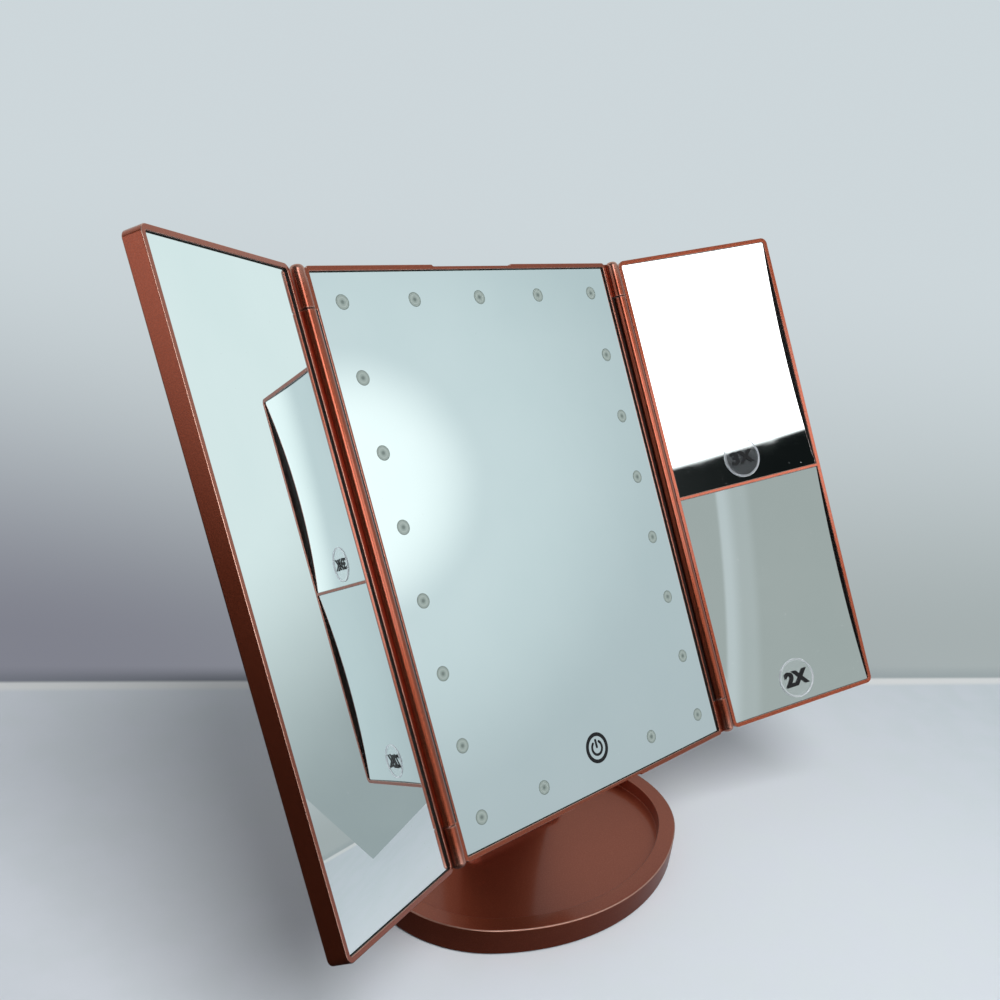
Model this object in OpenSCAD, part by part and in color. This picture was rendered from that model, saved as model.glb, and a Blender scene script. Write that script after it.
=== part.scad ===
// Trifold vanity mirror: lit centre mirror, two folding wings, tilting head on an oval tray base.
// Row frame: origin at the middle of the base's underside, +X the viewer's right, +Y away, +Z up.

/* [Panels] */
// Height of the centre frame and of both wings
panel_h = 224; // [190:1:270]
// Width of the centre frame
centre_w = 161; // [150:1:200]
// Depth of the centre frame at its edge
centre_depth = 9; // [8.5:0.5:14]
// Depth of a wing's tray
wing_depth = 7.2; // [6.8:0.2:12]
// Radius of the frame's and the wings' corners
corner_r = 3; // [1:0.5:6]
// Width of the rims at the top, the bottom and the wings' free edges
rim = 2; // [1.5:0.1:3]
// Width of the centre frame's thin side lips
side_lip = 1; // [0.8:0.1:2]
// How far the glass sits below the rims
glass_sink = 1; // [0.4:0.1:1.5]
// Thickness of the centre glass
centre_glass_t = 3; // [2:0.1:3]
// Thickness of the wing mirrors
wing_glass_t = 2; // [1.5:0.1:2.5]
// Gap round each glass in its rim
glass_gap = 0.1; // [0.05:0.05:0.3]
// Width of the finger notches in the middle of the top and bottom edges
notch_w = 42; // [20:1:60]
// Depth of the finger notches
notch_d = 0.8; // [0.4:0.1:1.2]

/* [Wing hinges] */
// Radius of the knuckles and barrels
barrel_r = 2.75; // [2.5:0.05:4]
// Length of each knuckle of the centre frame
knuckle_len = 16; // [12:0.5:24]
// Rounding of the knuckles' outer ends
knuckle_dome = 1.8; // [0.5:0.1:2.2]
// Gap between the centre frame's side and a barrel
hinge_gap = 1.75; // [1:0.05:3]
// Gap between the end of a knuckle and its barrel
knuckle_gap = 0.3; // [0.2:0.05:0.6]
// Height of the hinge axes above the front faces
hinge_lift = 0.6; // [0.4:0.05:1.2]
// Radius of the steel hinge pins
pin_r = 1.1; // [0.8:0.05:1.3]
// Length of a hinge pin
pin_len = 26; // [16:1:30]
// Running clearance round a pin or shaft
run_fit = 0.05; // [0.03:0.01:0.08]
// Gap at the middle between one closed wing and the centre line
meet_gap = 0.4; // [0.2:0.1:1]
// Gap between a barrel and the near edge of its wing's tray
barrel_gap = 0.95; // [0.6:0.05:2]
// Rim between a wing's tray edge and its glass on the hinge side
hinge_rim = 1.8; // [1:0.1:3]

/* [Pose in the photo] */
// Tilt of the head back from upright
rest_tilt = 31; // [0:1:60]
// Left wing, folded forward from flat
left_fold = 27; // [0:1:90]
// Right wing, folded forward from flat
right_fold = 24.5; // [0:0.5:90]

/* [Lights] */
// Columns of light windows
led_cols = 5; // [5:2:5]
// Rows of light windows
led_rows = 8; // [6:1:10]
// Distance of the outer light columns from the frame's sides
led_side = 12.5; // [11:0.1:16]
// Distance of the outer light rows from the frame's top and bottom edges
led_end = 13.3; // [11.5:0.1:18]
// Radius of an etched light window
window_r = 2.9; // [2:0.1:4]
// Outer radius of the touch mark's ring
touch_r = 6.5; // [5:0.1:8]
// Height of the touch mark above the glass's bottom edge
touch_rise = 17; // [12:0.5:24]
// Depth of the printed mark in the glass
print_depth = 0.3; // [0.1:0.1:0.6]
// Width of the ring-shaped light board's strips
board_strip = 12; // [8:0.5:16]

/* [Magnifiers] */
// Mirror radius of the 3-times magnifier
curve_3x = 750; // [600:10:1200]
// Mirror radius of the 2-times magnifier
curve_2x = 1000; // [700:10:1600]
// Thickness of the magnifying mirrors
lens_t = 1.5; // [1:0.1:1.6]
// Width of the cross bar between the magnifiers
bar_w = 1.6; // [1:0.1:4]
// Height of the cross bar's middle above the wing's middle
bar_v = -0.6; // [-20:0.2:20]
// Radius of the clear magnification marks
mark_r = 9.5; // [6:0.5:12]
// Thickness of the clear magnification marks
mark_t = 0.6; // [0.3:0.1:0.6]
// Distance of the marks from the hinge axis
mark_d = 44; // [20:0.5:60]
// Height of a mark above the lower edge of its magnifier
mark_rise = 11.5; // [10:0.5:20]

/* [Stand] */
// Half length of the oval base, left to right
base_a = 78.5; // [70:0.5:100]
// Half depth of the oval base, front to back
base_b = 60; // [52:0.5:75]
// Height of the base's rim
base_h = 12.5; // [11:0.5:20]
// Width of the base's flat rim
base_rim = 8; // [6:0.5:12]
// Depth of the tray recess
tray_depth = 6; // [3:0.5:6]
// Wall of the moulded shells
wall = 2; // [1.6:0.1:2.4]
// Thickness of the bottom plate
plate_t = 1.5; // [1:0.1:2]
// Thickness of the foam pad
pad_t = 1; // [0.8:0.1:1.4]
// Radius of the base's outer top edge
edge_r = 1.2; // [0.5:0.1:1.8]
// Height of the tilt axis above the table
axis_z = 96.5; // [90:0.5:130]
// Distance of the tilt axis behind the base's middle
axis_y = 6; // [-10:0.5:20]
// Distance of the neck's foot behind the base's middle
foot_y = 17; // [10:0.5:24]
// Radius of the neck's curve
neck_curve = 200; // [120:5:400]
// Thickness of the neck
neck_t = 12; // [9:0.5:15]
// Width of the neck at its foot
neck_foot_w = 58; // [48:1:70]
// Thickness of the foot's flange
flange_t = 3; // [2:0.5:5]

/* [Tilt hinge] */
// Distance of the tilt axis behind the head's front face
axis_depth = 20; // [18:0.5:24]
// Height of the tilt axis above the head's bottom edge
axis_rise = 58; // [50:0.5:80]
// Radius of the tilt barrel and of the ears
tilt_r = 9; // [8:0.1:9]
// Width of the slot between the ears
slot_w = 48; // [40:0.5:50]
// Thickness of a friction washer
washer_t = 0.6; // [0.4:0.1:1]
// Side play beside each washer
washer_play = 0.1; // [0.05:0.05:0.2]
// Radius of the steel cross shaft
shaft_r = 3; // [2.5:0.1:4]
// Radius of the end caps
cap_r = 5.5; // [5:0.1:7]
// Thickness of the end caps
cap_t = 2; // [1.5:0.1:3]

/* [Back housing] */
// Width of the back housing
housing_w = 82; // [80:1:90]
// Height of the housing below the tilt axis
housing_drop = 24; // [18:1:28]
// Height of the housing above the tilt axis
housing_top = 103; // [100:1:112]
// Depth of the housing behind the tilt axis
housing_back = 6; // [6:0.5:8]
// Wall of the back cover
cover_t = 1.5; // [1.2:0.1:2]
// Radius of the housing's corners
housing_r = 9; // [4:0.5:14]
// Draw-in of the housing's sides towards the back
housing_draft = 2; // [0.5:0.1:3]
// Radius of a battery cell
cell_r = 7.1; // [6.9:0.05:7.2]
// Length of a battery cell with its nub
cell_len = 50.5; // [48:0.5:51]
// Number of battery cells side by side
cells = 4; // [3:1:4]
// Distance between battery cells
cell_pitch = 15; // [14.6:0.1:15.4]
// Height of the battery bay's floor above the tilt axis
bay_z = 15; // [14:0.5:18]
// Room for the contact springs
spring_len = 4.6; // [4:0.1:6]
// Thickness of the battery door
door_t = 1.8; // [1.2:0.1:2]
// How far the door laps over each side of the bay
door_lap = 2; // [1.5:0.5:3]
// Gap round the door
door_gap = 0.35; // [0.25:0.05:0.6]
// Radius of the door's rounded hinge edge
door_roll = 1.2; // [1:0.1:1.4]
// Radius of the door's hinge pegs
peg_r = 0.7; // [0.5:0.1:0.8]
// Length of the door's hinge pegs
peg_len = 1; // [0.8:0.1:1.5]

/* [Hidden] */
$fn = 96;
eps = 0.01;

copper = [0.62, 0.33, 0.26];
dark_copper = [0.42, 0.2, 0.15];
silver = [0.8, 0.84, 0.86];
steel = [0.6, 0.6, 0.62];
black = [0.05, 0.05, 0.06];
board_green = [0.1, 0.35, 0.2];
foam_white = [0.85, 0.85, 0.83];

// Wing hinge
hinge_u = centre_w / 2 + hinge_gap + barrel_r;
barrel_half = panel_h / 2 - knuckle_len - knuckle_gap;
wing_near = barrel_r + barrel_gap;
wing_reach = hinge_u - meet_gap;
wing_glass_near = wing_near + hinge_rim;
wing_glass_far = wing_reach - rim;
wing_back_t = 1.6;
web_t = 3.6;
barrel_web_t = 1.35;
tray_floor = wing_depth - wing_back_t;
tape_side = 8;
tape_end = 40;
tape_h = 20;

// Centre frame, w measured from the front face
ledge_w = centre_glass_t + glass_sink;
ledge_t = 1.2;
ledge_in = 3;
inner_wall = 0.6;
boss_top = -ledge_w - ledge_t + 0.2;
tape_w = boss_top + 0.1;
board_t = 1;
board_w = ledge_w + ledge_t + 0.2;
led_pitch_x = (centre_w - 2 * led_side) / (led_cols - 1);
led_pitch_y = (panel_h - 2 * led_end) / (led_rows - 1);
led_size = [3.5, 2.8, 1];
board_edge = 4;
post_r = 1.5;
boss_r = 3;
touch_v = -panel_h / 2 + rim + touch_rise;
print_line = 1.1;

// Oval base of four arcs: their centres make 3-4-5 triangles, so the seams between arcs are exact
oval_step = (base_a - base_b) / 2;
end_x = 3 * oval_step;
side_y = 4 * oval_step;
side_r = base_b + side_y;
base_end_r = base_a - end_x;
oval_turn = atan(4 / 3);
oval_far = 60;
side_zone = [[-end_x, 0], [end_x, 0], [end_x + 3 * oval_far, 4 * oval_far],
    [-end_x - 3 * oval_far, 4 * oval_far]];
end_zone = [[end_x, 0], [end_x + 3 * oval_far, -4 * oval_far], [end_x + 3 * oval_far, 4 * oval_far]];
tray_floor_z = base_h - tray_depth;
shell_foot = pad_t - 0.4;
cover_gap = 0.2;
pad_inset = 0.8;
base_boss_r = 3.5;
base_boss_in = 37.5;
base_boss_y = 30;
screw_r = 1.1;
screw_head_r = 2.1;
screw_gap = 0.5;

// Neck: an arc in side view from the foot to the tilt axis, bulging to the back
neck_chord = norm([axis_y - foot_y, axis_z - tray_floor_z]);
neck_dir = [axis_y - foot_y, axis_z - tray_floor_z] / neck_chord;
neck_reach = sqrt(neck_curve * neck_curve - neck_chord * neck_chord / 4);
neck_mid = [(axis_y + foot_y) / 2, (axis_z + tray_floor_z) / 2]
    - [neck_dir[1], -neck_dir[0]] * neck_reach;
neck_low = asin((tray_floor_z - neck_mid[1]) / neck_curve);
neck_high = asin((axis_z - neck_mid[1]) / neck_curve);
barrel_half_w = slot_w / 2 - washer_t - 2 * washer_play;
neck_wall = 2.2;
neck_narrow_z = axis_z - norm([housing_drop, axis_depth - centre_depth]) - 4;
flange_lap = 3;
flange_reach = 7;
flange_r = 8;
neck_screw_in = 10;
neck_screw_x = neck_foot_w / 2 - neck_screw_in;
neck_screw_r = 1.1;
neck_screw_head = [2.6, 0.6];
neck_screw_len = 9;
neck_boss = [3.4, 10];
neck_pocket_end = tilt_r + 6.5;
neck_pocket_high = asin((axis_z - neck_pocket_end - neck_mid[1]) / neck_curve);

// Back housing
cap_sink = 1;
bay_w = cells * cell_pitch + 1.6;
contact_t = 0.4;
bay_len = cell_len + spring_len + 2 * contact_t;
plate_back = -axis_depth + centre_depth;
bay_back = plate_back + 0.2;
door_y = housing_back - door_t;
door_low = bay_z - door_lap;
door_pivot_y = housing_back - door_roll;
door_pivot_z = door_low + door_roll;
door_half = bay_w / 2 + door_lap;
latch_w = 10;
door_high = bay_z + bay_len + door_lap;
cell_y = bay_back + cell_r + 0.15;
slot_top = tilt_r + 2;
board_room = [door_high + 2.5, housing_top - housing_draft - cover_t];
room_half = housing_w / 2 - housing_draft - cover_t;
board_mid = (board_room[0] + board_room[1]) / 2;
board_size = [58, 1.2, 14];
board_y = -4;
board_inset = 0.5;
board_post_in = 7;
// Chips: middle across, width, thickness, height
chips = [[2, 8, 1.5, 6], [-11, 6, 2, 6], [18, 4, 1.2, 4]];
usb_size = [5.6, 2.6, 7.4];
usb_skin = 0.35;
// Tongue of the inlet: height above the board, thickness, half width
usb_tongue = [0.9, 0.5, 2];
screw_u = centre_w / 2 - side_lip - 5;
screw_v = panel_h / 2 - rim - 4.5;

// Points of an arc, and of a rectangle with round corners
function arc(c, r, a0, a1, n) = [for (i = [0:n]) let (a = a0 + (a1 - a0) * i / n) c + r * [cos(a), sin(a)]];
function rounded(x0, y0, x1, y1, r, n = 6) = concat(
    arc([x1 - r, y0 + r], r, -90, 0, n), arc([x1 - r, y1 - r], r, 0, 90, n),
    arc([x0 + r, y1 - r], r, 90, 180, n), arc([x0 + r, y0 + r], r, 180, 270, n));

module slab(points, z0, z1) {
    translate([0, 0, z0]) linear_extrude(z1 - z0) polygon(points);
}

module both_sides() {
    for (s = [0, 1]) mirror([s, 0, 0]) children();
}

module four_corners() {
    for (s = [0, 1], t = [0, 1]) mirror([s, 0, 0]) mirror([0, t, 0]) children();
}

module along_x() {
    rotate([90, 0, 90]) children();
}

// Sweeps a profile (x outward from the base's outline, y up) round the oval
module oval_sweep() {
    for (t = [0, 1]) {
        mirror([0, t, 0]) intersection() {
            translate([0, -side_y, 0]) rotate_extrude() translate([side_r, 0]) children();
            slab(side_zone, -1, base_h + 1);
        }
        mirror([t, 0, 0]) intersection() {
            translate([end_x, 0, 0]) rotate_extrude() translate([base_end_r, 0]) children();
            slab(end_zone, -1, base_h + 1);
        }
    }
}

// The base's outline, drawn in by an inset
function oval(inset) = concat(
    arc([end_x, 0], base_end_r - inset, -oval_turn, oval_turn, 24),
    arc([0, -side_y], side_r - inset, oval_turn, 180 - oval_turn, 24),
    arc([-end_x, 0], base_end_r - inset, 180 - oval_turn, 180 + oval_turn, 24),
    arc([0, side_y], side_r - inset, 180 + oval_turn, 360 - oval_turn, 24));

module head_place() {
    translate([0, axis_y, axis_z]) rotate([-rest_tilt, 0, 0]) children();
}

// Panel frame: x across, y up the panel, z out of the mirror, origin in the middle of the front face
module panel_place() {
    head_place() translate([0, -axis_depth, panel_h / 2 - axis_rise]) rotate([90, 0, 0]) children();
}

// Wing frame: x from the hinge axis to the free edge, y along the axis, z out of the mirror
module wing_place(side) {
    panel_place() mirror([side < 0 ? 1 : 0, 0, 0]) translate([hinge_u, 0, hinge_lift])
        rotate([0, side < 0 ? -left_fold : -right_fold, 0]) children();
}

module screw(head_r, shank_r, length) {
    cylinder(r1 = head_r, r2 = shank_r, h = head_r - shank_r);
    cylinder(r = shank_r, h = length);
}

// Stand

module base_spots() {
    four_corners() translate([base_a - base_boss_in, base_boss_y, 0]) children();
}

module neck_spots() {
    both_sides() translate([neck_screw_x, foot_y, 0]) children();
}

module base_shell() color(copper) {
    difference() {
        union() {
            oval_sweep() polygon(concat(
                [[-wall, shell_foot], [0, shell_foot]],
                arc([-edge_r, base_h - edge_r], edge_r, 0, 90, 6),
                arc([-base_rim + 0.8, base_h - 0.8], 0.8, 90, 180, 4),
                [[-base_rim, tray_floor_z - eps], [-base_rim - wall, tray_floor_z - eps],
                 [-base_rim - wall, tray_floor_z - wall], [-base_rim + wall, tray_floor_z - wall],
                 [-base_rim + wall, base_h - wall], [-wall, base_h - wall]]));
            slab(oval(base_rim + wall / 2), tray_floor_z - wall, tray_floor_z);
            base_spots() translate([0, 0, pad_t + plate_t])
                cylinder(r = base_boss_r, h = tray_floor_z - wall / 2 - pad_t - plate_t);
        }
        base_spots() cylinder(r = screw_r, h = tray_floor_z - wall / 2);
        neck_spots() cylinder(r = neck_screw_r + screw_gap, h = base_h);
    }
}

module base_plate() color(dark_copper) difference() {
    slab(oval(wall + cover_gap), pad_t, pad_t + plate_t);
    base_spots() cylinder(r = screw_r + cover_gap, h = base_h);
    base_spots() translate([0, 0, pad_t])
        cylinder(r1 = screw_head_r + cover_gap, r2 = screw_r + cover_gap, h = screw_head_r - screw_r);
}

module base_pad() color(black) slab(oval(wall + pad_inset), 0, pad_t);

module base_screws() color(steel) base_spots() translate([0, 0, pad_t])
    screw(screw_head_r, screw_r, tray_floor_z - wall / 2 - pad_t - 0.5);

// Side view of the neck, rb from the curve's middle line to the back
module neck_sweep(low, high) {
    translate([0, neck_mid[0], neck_mid[1]]) rotate(120, [1, 1, 1]) rotate([0, 0, low])
        rotate_extrude(angle = high - low) translate([neck_curve, 0]) children();
}

module neck_taper(inset) {
    translate([0, base_b, 0]) rotate([90, 0, 0]) linear_extrude(2 * base_b) polygon([
        [-neck_foot_w / 2 + inset, tray_floor_z], [neck_foot_w / 2 - inset, tray_floor_z],
        [barrel_half_w - inset, neck_narrow_z], [barrel_half_w - inset, axis_z + 2 * tilt_r],
        [-barrel_half_w + inset, axis_z + 2 * tilt_r], [-barrel_half_w + inset, neck_narrow_z]]);
}

// Everything of the stand above a height
module above(z) {
    translate([-neck_foot_w, -base_b, z]) cube([2 * neck_foot_w, 2 * base_b, axis_z]);
}

module neck_flange() {
    half_w = neck_foot_w / 2 + flange_lap;
    half_d = neck_t / 2 + flange_reach;
    slab(rounded(-half_w, foot_y - half_d, half_w, foot_y + half_d, flange_r),
        tray_floor_z, tray_floor_z + flange_t);
}

module neck_arm() color(copper) difference() {
    union() {
        intersection() {
            neck_sweep(neck_low, neck_high) translate([-neck_t / 2, -neck_foot_w / 2])
                square([neck_t, neck_foot_w]);
            neck_taper(0);
        }
        neck_flange();
        neck_spots() translate([0, 0, tray_floor_z]) cylinder(r = neck_boss[0], h = neck_boss[1]);
        translate([-barrel_half_w, axis_y, axis_z]) along_x() cylinder(r = tilt_r, h = 2 * barrel_half_w);
    }
    difference() {
        intersection() {
            neck_sweep(neck_low, neck_pocket_high) translate([-neck_t / 2 + neck_wall, -neck_foot_w / 2])
                square([neck_t, neck_foot_w]);
            neck_taper(neck_wall);
            above(tray_floor_z + flange_t);
        }
        neck_spots() translate([0, 0, tray_floor_z]) cylinder(r = neck_boss[0], h = neck_boss[1]);
    }
    translate([-slot_w, axis_y, axis_z]) along_x() cylinder(r = shaft_r, h = 2 * slot_w);
    neck_spots() cylinder(r = neck_screw_r, h = tray_floor_z - wall + neck_screw_len);
}

module neck_cover() color(copper) intersection() {
    neck_sweep(neck_low, neck_pocket_high - 0.1) translate([neck_t / 2 - neck_wall, -neck_foot_w / 2])
        square([neck_wall, neck_foot_w]);
    neck_taper(neck_wall + 0.1);
    above(tray_floor_z + flange_t + 0.1);
}

module neck_screws() color(steel) neck_spots() translate([0, 0, tray_floor_z - wall - neck_screw_head[1]]) {
    cylinder(r = neck_screw_head[0], h = neck_screw_head[1]);
    cylinder(r = neck_screw_r, h = neck_screw_len);
}

module tilt_shaft() color(steel) translate([-housing_w / 2 + cap_t + cap_sink + 1, axis_y, axis_z]) along_x()
    cylinder(r = shaft_r, h = housing_w - 2 * (cap_t + cap_sink + 1));

module tilt_washers() color(steel) both_sides() translate([barrel_half_w + washer_play, axis_y, axis_z])
    along_x() difference() {
        cylinder(r = 0.83 * tilt_r, h = washer_t);
        translate([0, 0, -1]) cylinder(r = shaft_r + run_fit, h = washer_t + 2);
    }

// Centre of the head

function centre_outline(inset_x, inset_y, r) = rounded(-centre_w / 2 + inset_x, -panel_h / 2 + inset_y,
    centre_w / 2 - inset_x, panel_h / 2 - inset_y, r);

module finger_notch() {
    for (t = [0, 1]) mirror([0, t, 0]) slab([[-notch_w / 2 - notch_d, panel_h / 2 + eps],
        [-notch_w / 2, panel_h / 2 - notch_d], [notch_w / 2, panel_h / 2 - notch_d],
        [notch_w / 2 + notch_d, panel_h / 2 + eps]], -centre_depth - 1, 1);
}

module knuckle() {
    translate([hinge_u, panel_h / 2 - knuckle_len, hinge_lift]) rotate([-90, 0, 0])
        rotate_extrude() polygon(concat([[0, 0], [barrel_r, 0]],
            arc([barrel_r - knuckle_dome, knuckle_len - knuckle_dome], knuckle_dome, 0, 90, 6),
            [[0, knuckle_len]]));
    translate([centre_w / 2 - side_lip / 2, panel_h / 2 - knuckle_len, -web_t])
        cube([hinge_u - centre_w / 2 + side_lip / 2, knuckle_len - knuckle_dome, web_t + hinge_lift / 2]);
}

module cover_spots() {
    four_corners() translate([screw_u, screw_v, 0]) children();
}

module centre_frame() color(copper) difference() {
    union() {
        difference() {
            slab(centre_outline(0, 0, corner_r), -centre_depth, 0);
            slab(centre_outline(side_lip, rim, 1), -ledge_w, 1);
            slab(centre_outline(side_lip + ledge_in, rim + ledge_in, 1),
                -ledge_w - ledge_t - eps, eps - ledge_w);
            slab(centre_outline(side_lip + inner_wall, rim, 1.5), -centre_depth - 1, -ledge_w - ledge_t);
            finger_notch();
        }
        cover_spots() translate([0, 0, -centre_depth + cover_t])
            cylinder(r = boss_r, h = boss_top + centre_depth - cover_t);
        four_corners() knuckle();
    }
    four_corners() translate([hinge_u, panel_h / 2 - knuckle_len - 1, hinge_lift]) rotate([-90, 0, 0])
        cylinder(r = pin_r, h = 1 + pin_len / 2);
    cover_spots() translate([0, 0, -centre_depth]) cylinder(r = 1, h = centre_depth - ledge_w - 0.3);
}

// Light windows: a full top row, both side columns, and a bottom row that leaves its middle to the touch mark
function window_used(i, j) = i == 0 || j == 0 || j == led_cols - 1
    || (i == led_rows - 1 && j != (led_cols - 1) / 2);
windows = [for (i = [0:led_rows - 1], j = [0:led_cols - 1]) if (window_used(i, j))
    [(j - (led_cols - 1) / 2) * led_pitch_x, ((led_rows - 1) / 2 - i) * led_pitch_y]];

module touch_shape() {
    standby_r = touch_r * 0.53;
    difference() {
        cylinder(r = touch_r, h = print_depth);
        translate([0, 0, -1]) cylinder(r = touch_r - 1.6, h = print_depth + 2);
    }
    difference() {
        cylinder(r = standby_r, h = print_depth);
        translate([0, 0, -1]) cylinder(r = standby_r - print_line, h = print_depth + 2);
        slab([[0, 0], [-standby_r * 0.6, 2 * standby_r], [standby_r * 0.6, 2 * standby_r]],
            -1, print_depth + 1);
    }
    translate([-print_line / 2, -0.2, 0]) cube([print_line, standby_r + 0.6, print_depth]);
}

module centre_mirror() color(silver) difference() {
    slab(centre_outline(side_lip + glass_gap, rim + glass_gap, 1), -ledge_w, -glass_sink);
    for (p = windows) translate([p[0], p[1], -ledge_w - 1]) cylinder(r = window_r, h = ledge_w);
    translate([0, touch_v, -glass_sink - print_depth]) touch_shape();
}

module led_windows() color("white") for (p = windows) translate([p[0], p[1], -ledge_w])
    cylinder(r = window_r, h = centre_glass_t);

module touch_icon() color(black) translate([0, touch_v, -glass_sink - print_depth]) touch_shape();

module touch_pad() color([0.7, 0.4, 0.2]) translate([0, touch_v, -ledge_w - 0.3])
    cylinder(r = touch_r - 1, h = 0.3);

module led_board() color(board_green) difference() {
    board_u = centre_w / 2 - led_side + board_edge;
    board_v = panel_h / 2 - led_end + board_edge;
    slab(rounded(-board_u, -board_v, board_u, board_v, 1), -board_w - board_t, -board_w);
    slab(rounded(-board_u + board_strip, -board_v + board_strip, board_u - board_strip,
        board_v - board_strip, 1), -board_w - board_t - 1, -board_w + 1);
}

module leds() color([0.95, 0.93, 0.75]) for (p = windows)
    translate([p[0] - led_size[0] / 2, p[1] - led_size[1] / 2, -board_w]) cube(led_size);

// Foam tape between the ledge and the rim of the glass's back
module glass_tape() color(foam_white) difference() {
    slab(centre_outline(side_lip + ledge_in + 0.2, rim + ledge_in + 0.2, 1), tape_w, -ledge_w);
    slab(centre_outline(side_lip + ledge_in + 2.2, rim + ledge_in + 2.2, 1), -board_w, 0);
}

module head_box(x0, x1, y0, y1, z0, z1) {
    translate([x0, y0, z0]) cube([x1 - x0, y1 - y0, z1 - z0]);
}

module housing_outline(inset, y0, y1) {
    translate([0, y1, 0]) rotate([90, 0, 0]) linear_extrude(y1 - y0) polygon(rounded(
        -housing_w / 2 + inset, -housing_drop + inset, housing_w / 2 - inset, housing_top - inset, housing_r));
}

module back_cover() color(dark_copper) head_place() difference() {
    union() {
        translate([0, -axis_depth, panel_h / 2 - axis_rise]) rotate([90, 0, 0]) {
            slab(centre_outline(side_lip + inner_wall + 0.1, rim + 0.1, 1.4),
                -centre_depth, -centre_depth + cover_t);
            four_corners() translate([centre_w / 2 - led_side + board_edge - board_strip / 2,
                led_pitch_y * 1.5, -centre_depth]) cylinder(r = post_r, h = centre_depth - board_w - board_t);
        }
        hull() {
            housing_outline(0, plate_back - cover_t, plate_back + 2);
            housing_outline(housing_draft * 0.6, plate_back, housing_back - 2);
            housing_outline(housing_draft, plate_back, housing_back);
        }
        both_sides() translate([slot_w / 2, 0, 0]) along_x()
            cylinder(r = tilt_r, h = housing_w / 2 - slot_w / 2);
    }
    // slot for the neck
    head_box(-slot_w / 2, slot_w / 2, plate_back, 2 * tilt_r, -housing_drop - 1, slot_top);
    // battery bay and the seat of its door
    head_box(-bay_w / 2, bay_w / 2, bay_back, housing_back + 1, bay_z, bay_z + bay_len);
    head_box(-door_half - door_gap, door_half + door_gap, door_y - 0.2, housing_back + 1,
        door_low - door_gap, door_high + door_gap);
    head_box(-door_half - door_gap, door_half + door_gap, door_pivot_y - door_roll - 0.2, housing_back + 1,
        door_low - door_gap, door_pivot_z + door_roll + 0.2);
    translate([-door_half - peg_len - 0.2, door_pivot_y, door_pivot_z]) along_x()
        cylinder(r = peg_r + run_fit, h = 2 * (door_half + peg_len + 0.2));
    // room for the control board, open to the inside of the head
    difference() {
        head_box(-room_half, room_half, plate_back - 3, housing_back - cover_t,
            board_room[0], board_room[1]);
        for (x = [room_half - board_post_in, room_half - board_size[0] + board_post_in])
            head_box(x - post_r, x + post_r, board_y + board_size[1], housing_back,
                board_mid + post_r, board_mid + 3 * post_r);
    }
    head_box(room_half - 1, housing_w / 2 + 1, board_y + 1, board_y + 1.4 + usb_size[1],
        board_mid - usb_size[2] / 2 - 0.2, board_mid + usb_size[2] / 2 + 0.2);
    // tilt shaft and caps
    translate([-housing_w, 0, 0]) along_x() cylinder(r = shaft_r + run_fit, h = 2 * housing_w);
    both_sides() translate([housing_w / 2 - cap_t - cap_sink, 0, 0]) along_x()
        cylinder(r = cap_r, h = cap_t + 2);
    // cover screws
    translate([0, -axis_depth, panel_h / 2 - axis_rise]) rotate([90, 0, 0]) cover_spots() {
        translate([0, 0, -centre_depth - 1]) cylinder(r = 1.2, h = cover_t + 2);
        translate([0, 0, -centre_depth]) cylinder(r1 = 2.2, r2 = 1.2, h = 1);
    }
}

module cover_screws() color(steel) panel_place() cover_spots() translate([0, 0, -centre_depth])
    screw(2, 1, centre_depth + boss_top - 0.1);

module hinge_pins() color(steel) panel_place() four_corners()
    translate([hinge_u, panel_h / 2 - knuckle_len - pin_len / 2, hinge_lift]) rotate([-90, 0, 0])
        cylinder(r = pin_r, h = pin_len);

module tilt_caps() color(copper) head_place() both_sides() translate([housing_w / 2 - cap_t - cap_sink, 0, 0])
    along_x() cylinder(r = cap_r, h = cap_t);

module control_board() color(board_green) head_place() head_box(
    room_half - board_inset - board_size[0], room_half - board_inset,
    board_y, board_y + board_size[1], board_mid - board_size[2] / 2, board_mid + board_size[2] / 2);

module board_parts() color(black) head_place() {
    for (c = chips) head_box(c[0] - c[1] / 2, c[0] + c[1] / 2, board_y - c[2], board_y,
        board_mid - c[3] / 2, board_mid + c[3] / 2);
}

// Micro-USB inlet, with its mouth flush in the housing's side
module usb_socket() color(steel) head_place() {
    mouth_x = housing_w / 2 - housing_draft * 0.6;
    back_x = mouth_x - usb_size[0];
    near_y = board_y + board_size[1];
    half_z = usb_size[2] / 2;
    difference() {
        head_box(back_x, mouth_x, near_y, near_y + usb_size[1], board_mid - half_z, board_mid + half_z);
        head_box(back_x + 0.5, mouth_x + 1, near_y + usb_skin, near_y + usb_size[1] - usb_skin,
            board_mid - half_z + usb_skin, board_mid + half_z - usb_skin);
    }
    head_box(back_x + 0.5 - eps, mouth_x - 1, near_y + usb_tongue[0], near_y + usb_tongue[0] + usb_tongue[1],
        board_mid - usb_tongue[2], board_mid + usb_tongue[2]);
}

module each_cell() {
    for (i = [0:cells - 1]) translate([(i - (cells - 1) / 2) * cell_pitch, cell_y, bay_z + bay_len / 2])
        mirror([0, 0, i % 2]) translate([0, 0, -bay_len / 2]) children();
}

cell_floor = contact_t + spring_len;

module battery_cells() color([0.15, 0.15, 0.17]) head_place() each_cell() translate([0, 0, cell_floor]) {
    cylinder(r = cell_r, h = cell_len - 1.3);
    cylinder(r = 2.7, h = cell_len);
}

module battery_springs() color(steel) head_place() each_cell() translate([0, 0, contact_t]) difference() {
    cylinder(r1 = 4.5, r2 = 2.8, h = spring_len);
    translate([0, 0, -eps]) cylinder(r1 = 3.9, r2 = 2.2, h = spring_len + 2 * eps);
}

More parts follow.
